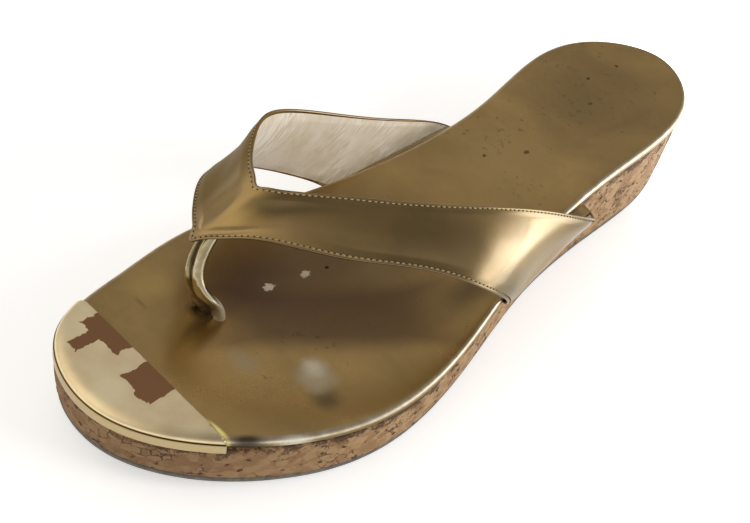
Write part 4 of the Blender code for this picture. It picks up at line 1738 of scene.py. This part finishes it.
@dataclass(frozen=True)
class Studio:
    """Pale floor, soft light all round and the camera."""

    place: tuple[float, float, float] = (145.09, -254.11, 272.50)
    azimuth: float = 32.143
    elevation: float = 43.307
    roll: float = 14.472
    lens: float = 60.96
    softboxes: tuple[Softbox, ...] = (
        Softbox("heel_softbox", 146.0, 12.0, 1.0, 0.5, 0.6, (0.9, 1.0, 1.2)),
        Softbox("lining_fill", 112.0, 28.0, 0.9, 0.4, 3.4, (1.0, 0.97, 0.92), False),
    )
    level: float = 0.50
    glows: tuple[Glow, ...] = (
        Glow("window side, low", 146.0, -2.0, 38.0, 1.9, (0.92, 1.0, 1.2)),
        Glow("pale wall beside the toe", 318.0, 46.0, 60.0, 0.55, (1.1, 1.0, 0.8)),
        Glow("dark ceiling beside the camera", 95.0, 62.0, 55.0, -0.30),
        Glow("pale wall behind the heel", 208.0, 40.0, 22.0, 0.12),
    )
    # the pool's reach and core are metres on the floor, not degrees
    # a painted pool of light: the floor glows brighter on the window side
    pool: Glow = Glow("daylight on the paper", 146.0, 0.0, 0.47, 1.7, (0.92, 1.0, 1.2))
    pool_away: float = 0.55
    pool_core: float = 0.42
    paper: str = "#f4f4f4"
    paper_light: float = 0.45
    paper_rough: float = 0.3
    floor_reach: float = 3.0
    floor_gap: float = 0.05

    def build(self) -> None:
        """Set the floor, the world, the lights and the camera."""
        self.build_floor()
        self.build_world()
        for softbox in self.softboxes:
            softbox.build()
        self.build_camera()
        bpy.context.scene.view_settings.view_transform = "Standard"

    def build_floor(self) -> None:
        """A pale floor just under the sole, glowing evenly, with a painted pool of light on the window
        side.
        """
        mesh = bpy.data.meshes.new("studio_floor")
        corners = [(side * self.floor_reach, end * self.floor_reach, -self.floor_gap * MM)
                   for side, end in ((-1, -1), (1, -1), (1, 1), (-1, 1))]
        mesh.from_pydata(corners, [], [(0, 1, 2, 3)])
        material = bpy.data.materials.new("studio_paper")
        material.use_nodes = True
        tree = material.node_tree
        add = partial(add_node, tree)
        centre = tuple(direction(self.pool.azimuth, 0.0) * self.pool_away)
        coords = add("ShaderNodeTexCoord").outputs["Object"]
        away = add("ShaderNodeVectorMath", {0: coords, 1: centre}, operation="DISTANCE")
        lit = add("ShaderNodeMapRange", {
            "Value": away, "From Min": self.pool_core, "From Max": self.pool.reach,
            "To Min": self.pool.strength, "To Max": 0.0}, interpolation_type="SMOOTHSTEP")
        glow = add("ShaderNodeVectorMath", {
            0: lit, 1: self.pool.tint, 2: (self.paper_light,) * 3}, operation="MULTIPLY_ADD")
        feed(tree, tree.nodes["Principled BSDF"], {
            "Base Color": linear(self.paper), "Roughness": self.paper_rough,
            "Emission Color": glow, "Emission Strength": 1.0})
        mesh.materials.append(material)
        floor = place_object("studio_floor", mesh)

    def build_world(self) -> None:
        """An even light from all round, with broad brighter and darker regions."""
        world = bpy.data.worlds.new("studio")
        world.use_nodes = True
        tree = world.node_tree
        tree.nodes.clear()
        add = partial(add_node, tree)
        coords = add("ShaderNodeTexCoord").outputs["Generated"]
        total = (self.level,) * 3
        for glow in self.glows:
            away = tuple(direction(glow.azimuth, glow.elevation))
            near = add("ShaderNodeVectorMath", {0: coords, 1: away}, operation="DOT_PRODUCT")
            part = add("ShaderNodeMapRange", {
                "Value": near, "From Min": math.cos(math.radians(glow.reach)), "From Max": 1.0,
                "To Min": 0.0, "To Max": glow.strength}, interpolation_type="SMOOTHSTEP")
            total = add("ShaderNodeVectorMath", {0: part, 1: glow.tint, 2: total}, operation="MULTIPLY_ADD")
        sky = add("ShaderNodeBackground", {"Color": total, "Strength": 1.0})
        add("ShaderNodeOutputWorld", {"Surface": sky})
        bpy.context.scene.world = world

    def build_camera(self) -> None:
        """The camera, looking down on the toe and the outer side, a little rolled."""
        back = Vector(direction(self.azimuth, self.elevation))
        right = Vector((0, 0, 1)).cross(back).normalized()
        up = back.cross(right)
        turn = math.radians(self.roll)
        level = right * math.cos(turn) + up * math.sin(turn)
        rise = up * math.cos(turn) - right * math.sin(turn)
        lens = bpy.data.cameras.new("camera")
        lens.lens = self.lens
        lens.clip_start = 0.01
        camera = place_object("camera", lens)
        axes = Matrix((level, rise, back)).transposed()
        camera.matrix_world = Matrix.Translation(Vector(self.place) * MM) @ axes.to_4x4()
        bpy.context.scene.camera = camera


# ------------------------------------------------------------------ the shoe
# degrees from the shoe's length, of the strap's front edge, of the plate's lip by the outer
# toes and of the footbed's edge beside it
TURN_IN = 36.9
TURN_LIP = 36.0
TURN_TOES = 29.0
FOOTBED_SPOTS = (
    # painted shade under the strap, behind the post, at its foot and in the corner by the outer arm; the
    # olive patch is painted reflection
    Spot("shade under the strap", 163.0, -8.0, 50.0, 40.0, 0.72, "#4a2f14", 0.85, 0.0, 0.1, turn=TURN_IN),
    Spot("dark under the strap", 175.0, 9.0, 44.0, 15.0, 0.72, "#4a2f14", 0.6, 0.03, 0.1, True, TURN_IN),
    Spot("darker behind the post", 187.5, -17.5, 24.0, 18.0, 0.75, "#381d0b", 0.95, 0.0, 0.1),
    Spot("dark at the post's foot", 203.0, -15.2, 5.5, 5.0, 0.8, "#1e120a", 0.9, 0.0, 0.1),
    Spot("dark corner by the outer arm", 138.0, 28.0, 18.0, 8.5, 0.65, "#33260f", 1.0, 0.0, 0.1),
    Spot("olive light in the dark", 151.0, 4.0, 15.0, 9.0, 0.5, "#75663f", 1.0, 0.0, 0.1),
    # painted shade behind the square end of the plate's lip
    Spot("painted shade behind the plate's lip", 224.9, 25.9, 6.6, 1.9, 0.9, "#2e2216", 0.8, 0.0, 0.3, turn=TURN_LIP),
    # a painted glint along the plate's back edge
    Spot("bright along the plate's back edge", 228.9, 19.6, 1.2, 5.6, 0.95, "#fff08c", 0.8, 0.0, 0.45),
    # partly rubbed foil, partly a painted highlight on the roll's top corner by the outer toes
    Spot("pale edge, outer toes", 214.6, 32.9, 7.5, 1.5, 0.7, "#e6e0d2", 1.0, 0.3, 0.5, turn=TURN_TOES),
    Spot("warm under the toes", 219.0, 2.0, 12.0, 26.0, 0.4, "#b8934e", 1.0, 0.0, 0.0),
    Spot("warm, big toe side", 208.0, -30.0, 14.0, 10.0, 0.4, "#bb9a56", 1.0, 0.0, 0.0),
    Spot("olive waist", 96.0, 2.0, 30.0, 24.0, 0.5, "#a88c56", 1.0, 0.0, 0.0),
    Spot("olive heel", 40.0, 2.0, 56.0, 42.0, 0.6, "#6c5732", 1.0, 0.0, 0.1),
    Spot("pale scuff ahead of the ball", 181.3, -10.6, 2.0, 1.6, 0.8, "#d8ccb4", 0.3, 0.9),
    Spot("pale scuff at the ball", 169.4, -7.8, 1.8, 1.2, 0.7, "#d8ccb4", 0.3, 0.9),
    Spot("dark nick", 162.7, -5.6, 0.7, 0.7, 1.0, "#2a2118"),
    Spot("dark crescent beside the smear", 198.8, 28.6, 6.4, 6.4, 0.75, "#4c3f28", 0.9, 0.15, 0.3),
    Spot("silvery smear, outer", 195.2, 21.4, 7.6, 8.0, 0.85, "#ab9c80", 0.75, 0.25, 0.6),
    Spot("bright end of the smear", 193.2, 18.6, 5.2, 5.0, 0.75, "#d2c6ae", 0.95, 0.35, 0.7),
    Spot("faint smear under the toes", 207.3, 6.3, 5.0, 8.0, 0.4, "#a59c84", 1.0, 0.3, 0.3),
    Spot("faint arc, big toe", 215.0, -26.0, 1.2, 4.0, 0.4, "#5d4c2e", 1.0, 0.4),
    Spot("heel nick", 19.7, -3.8, 0.7, 1.0, 0.9, "#3a2c1c"),
    Spot("heel scuff", 34.8, -5.6, 1.0, 0.8, 0.9, "#3a2c1c"),
    Spot("heel scuff, outer", 45.9, 3.2, 1.2, 0.8, 0.8, "#4a3a24"),
    Spot("waist scuff", 83.6, 4.7, 1.3, 1.0, 0.8, "#4a3a24"),
    Spot("waist nick", 95.1, -3.3, 0.8, 0.7, 0.8, "#3a2c1c"),
)
POST_SPOTS = (
    # a painted highlight on the post's rounded foot
    Spot("painted highlight on the post's foot", 200.4, -9.6, 4.6, 4.2, 0.85, "#e6d9bc", 0.7, 0.2, 0.7),
)
STRAP_SPOTS = (
    # a painted highlight: paler where the strap turns down the outer side
    Spot("painted highlight where it turns down", 127.0, 36.0, 26.0, 7.0, 0.28, "#dccba4", 1.0, 0.0, 0.0),
    # painted reflection of the gold footbed where the strap bends
    Spot("yellow where the strap bends", 196.0, -13.0, 14.0, 10.0, 0.45, "#a5873e", 1.0, 0.0, 0.0),
    # painted shade: a dull brown on the inner side of the bend
    Spot("brown, inner side of the bend", 186.0, -37.0, 42.0, 20.0, 1.0, "#705822", 0.5, 0.0, 1.0),
    # painted shade low on the outer side, a dull tone in place of a bright reflection
    Spot("painted shade low on the outer side", 112.0, 43.5, 60.0, 8.0, 0.95, "#54481f", 0.5, 0.0, 0.9),
    # a painted highlight along the front edge
    Spot("lighter by the front edge", 152.0, 14.0, 26.0, 5.0, 0.5, "#e0c68c", 1.0, 0.0, 0.0, turn=TURN_IN),
)
PLATE_PATCHES = (
    Spot("worn band along the back edge", 230.2, -21.0, 3.4, 7.6, 1.0, "#7a5432", 0.1, 0.3, square=True),
    Spot("worn arm, inner back", 235.4, -22.4, 5.6, 2.0, 1.0, "#7a5432", 0.1, 0.3, square=True),
    Spot("worn patch, outer back", 232.0, -1.9, 5.4, 5.9, 1.0, "#7a5432", 0.1, 0.22, square=True),
    Spot("ragged foot of the patch", 236.2, 0.8, 2.6, 3.2, 1.0, "#7a5432", 0.1, 0.7),
)


def settle(piece: Piece, slot: str, node: str | None = None) -> None:
    """Hang a piece on the root, hide the node it stands for, and log its slot."""
    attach(piece, "root")
    if node is not None:
        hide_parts(node)
    LOG.info("%s: %d faces, slot %s", piece.name, len(piece.data.polygons), slot)


def main() -> None:
    """Build the shoe in order, then the studio."""
    logging.basicConfig(level=logging.INFO, format="%(name)s %(message)s")
    last, flare = Last(), Flare()
    # moulded rubber: a dull, warm grey in two close tones
    settle(Outsole(last, flare).build(
        PlainFinish("moulded_sole_rubber", light="#716a60", dark="#544e46", size=2.0, rough=0.62)),
        "sole_rubber", "outsole")
    wedge, flecks = CorkWedge(last, flare).build(GranulatedCork("granulated_cork"))
    settle(wedge, "cork", "cork_wedge")
    settle(flecks, "cork")
    settle(Footbed(last).build(FoiledLeather(
        "gold_foiled_footbed_leather", spots=FOOTBED_SPOTS, grime_and_shade="#625d46", speck_behind=128.0,
        rough_low=0.24, rough_high=0.34, coat=0.4, coat_rough=0.22)), "metallic_leather", "footbed")
    settle(ToePlate(last).build(PlatedMetal("worn_gold_plating", patches=PLATE_PATCHES)),
           "plated_metal", "toe_plate")
    upper = ThongUpper(StrapShape(last))
    settle(upper.build(FoiledLeather(
        "gold_foiled_strap_leather", spots=STRAP_SPOTS, grime_and_shade="#5e4a32",
        rough_low=0.13, rough_high=0.22, coat=0.8)), "metallic_leather", "thong_upper")
    settle(StrapLining(upper).build(LiningLeather("kid_lining_leather")), "lining_leather")
    settle(ToePost().build(FoiledLeather(
        "worn_silvery_foiled_leather", spots=POST_SPOTS, bright="#ece2c2", deep="#b09c72", cloud=26.0,
        grime_and_shade="#2a1c12", rough_low=0.16, rough_high=0.28, coat=0.5)),
        "metallic_leather", "toe_post")
    # waxed thread has a faint gloss; a needle hole is only a dark, dull point
    threads, holes = Stitching(upper).build(
        PlainFinish("waxed_thread", light="#cbb88a", dark="#a08a5a", size=0.6, rough=0.55),
        PlainFinish("needle_hole_shadow", light="#44321e", dark="#302214", size=0.6, rough=0.9))
    settle(threads, "stitch_thread")
    settle(holes, "metallic_leather")
    Studio().build()


if __name__ == "__main__":
    main()
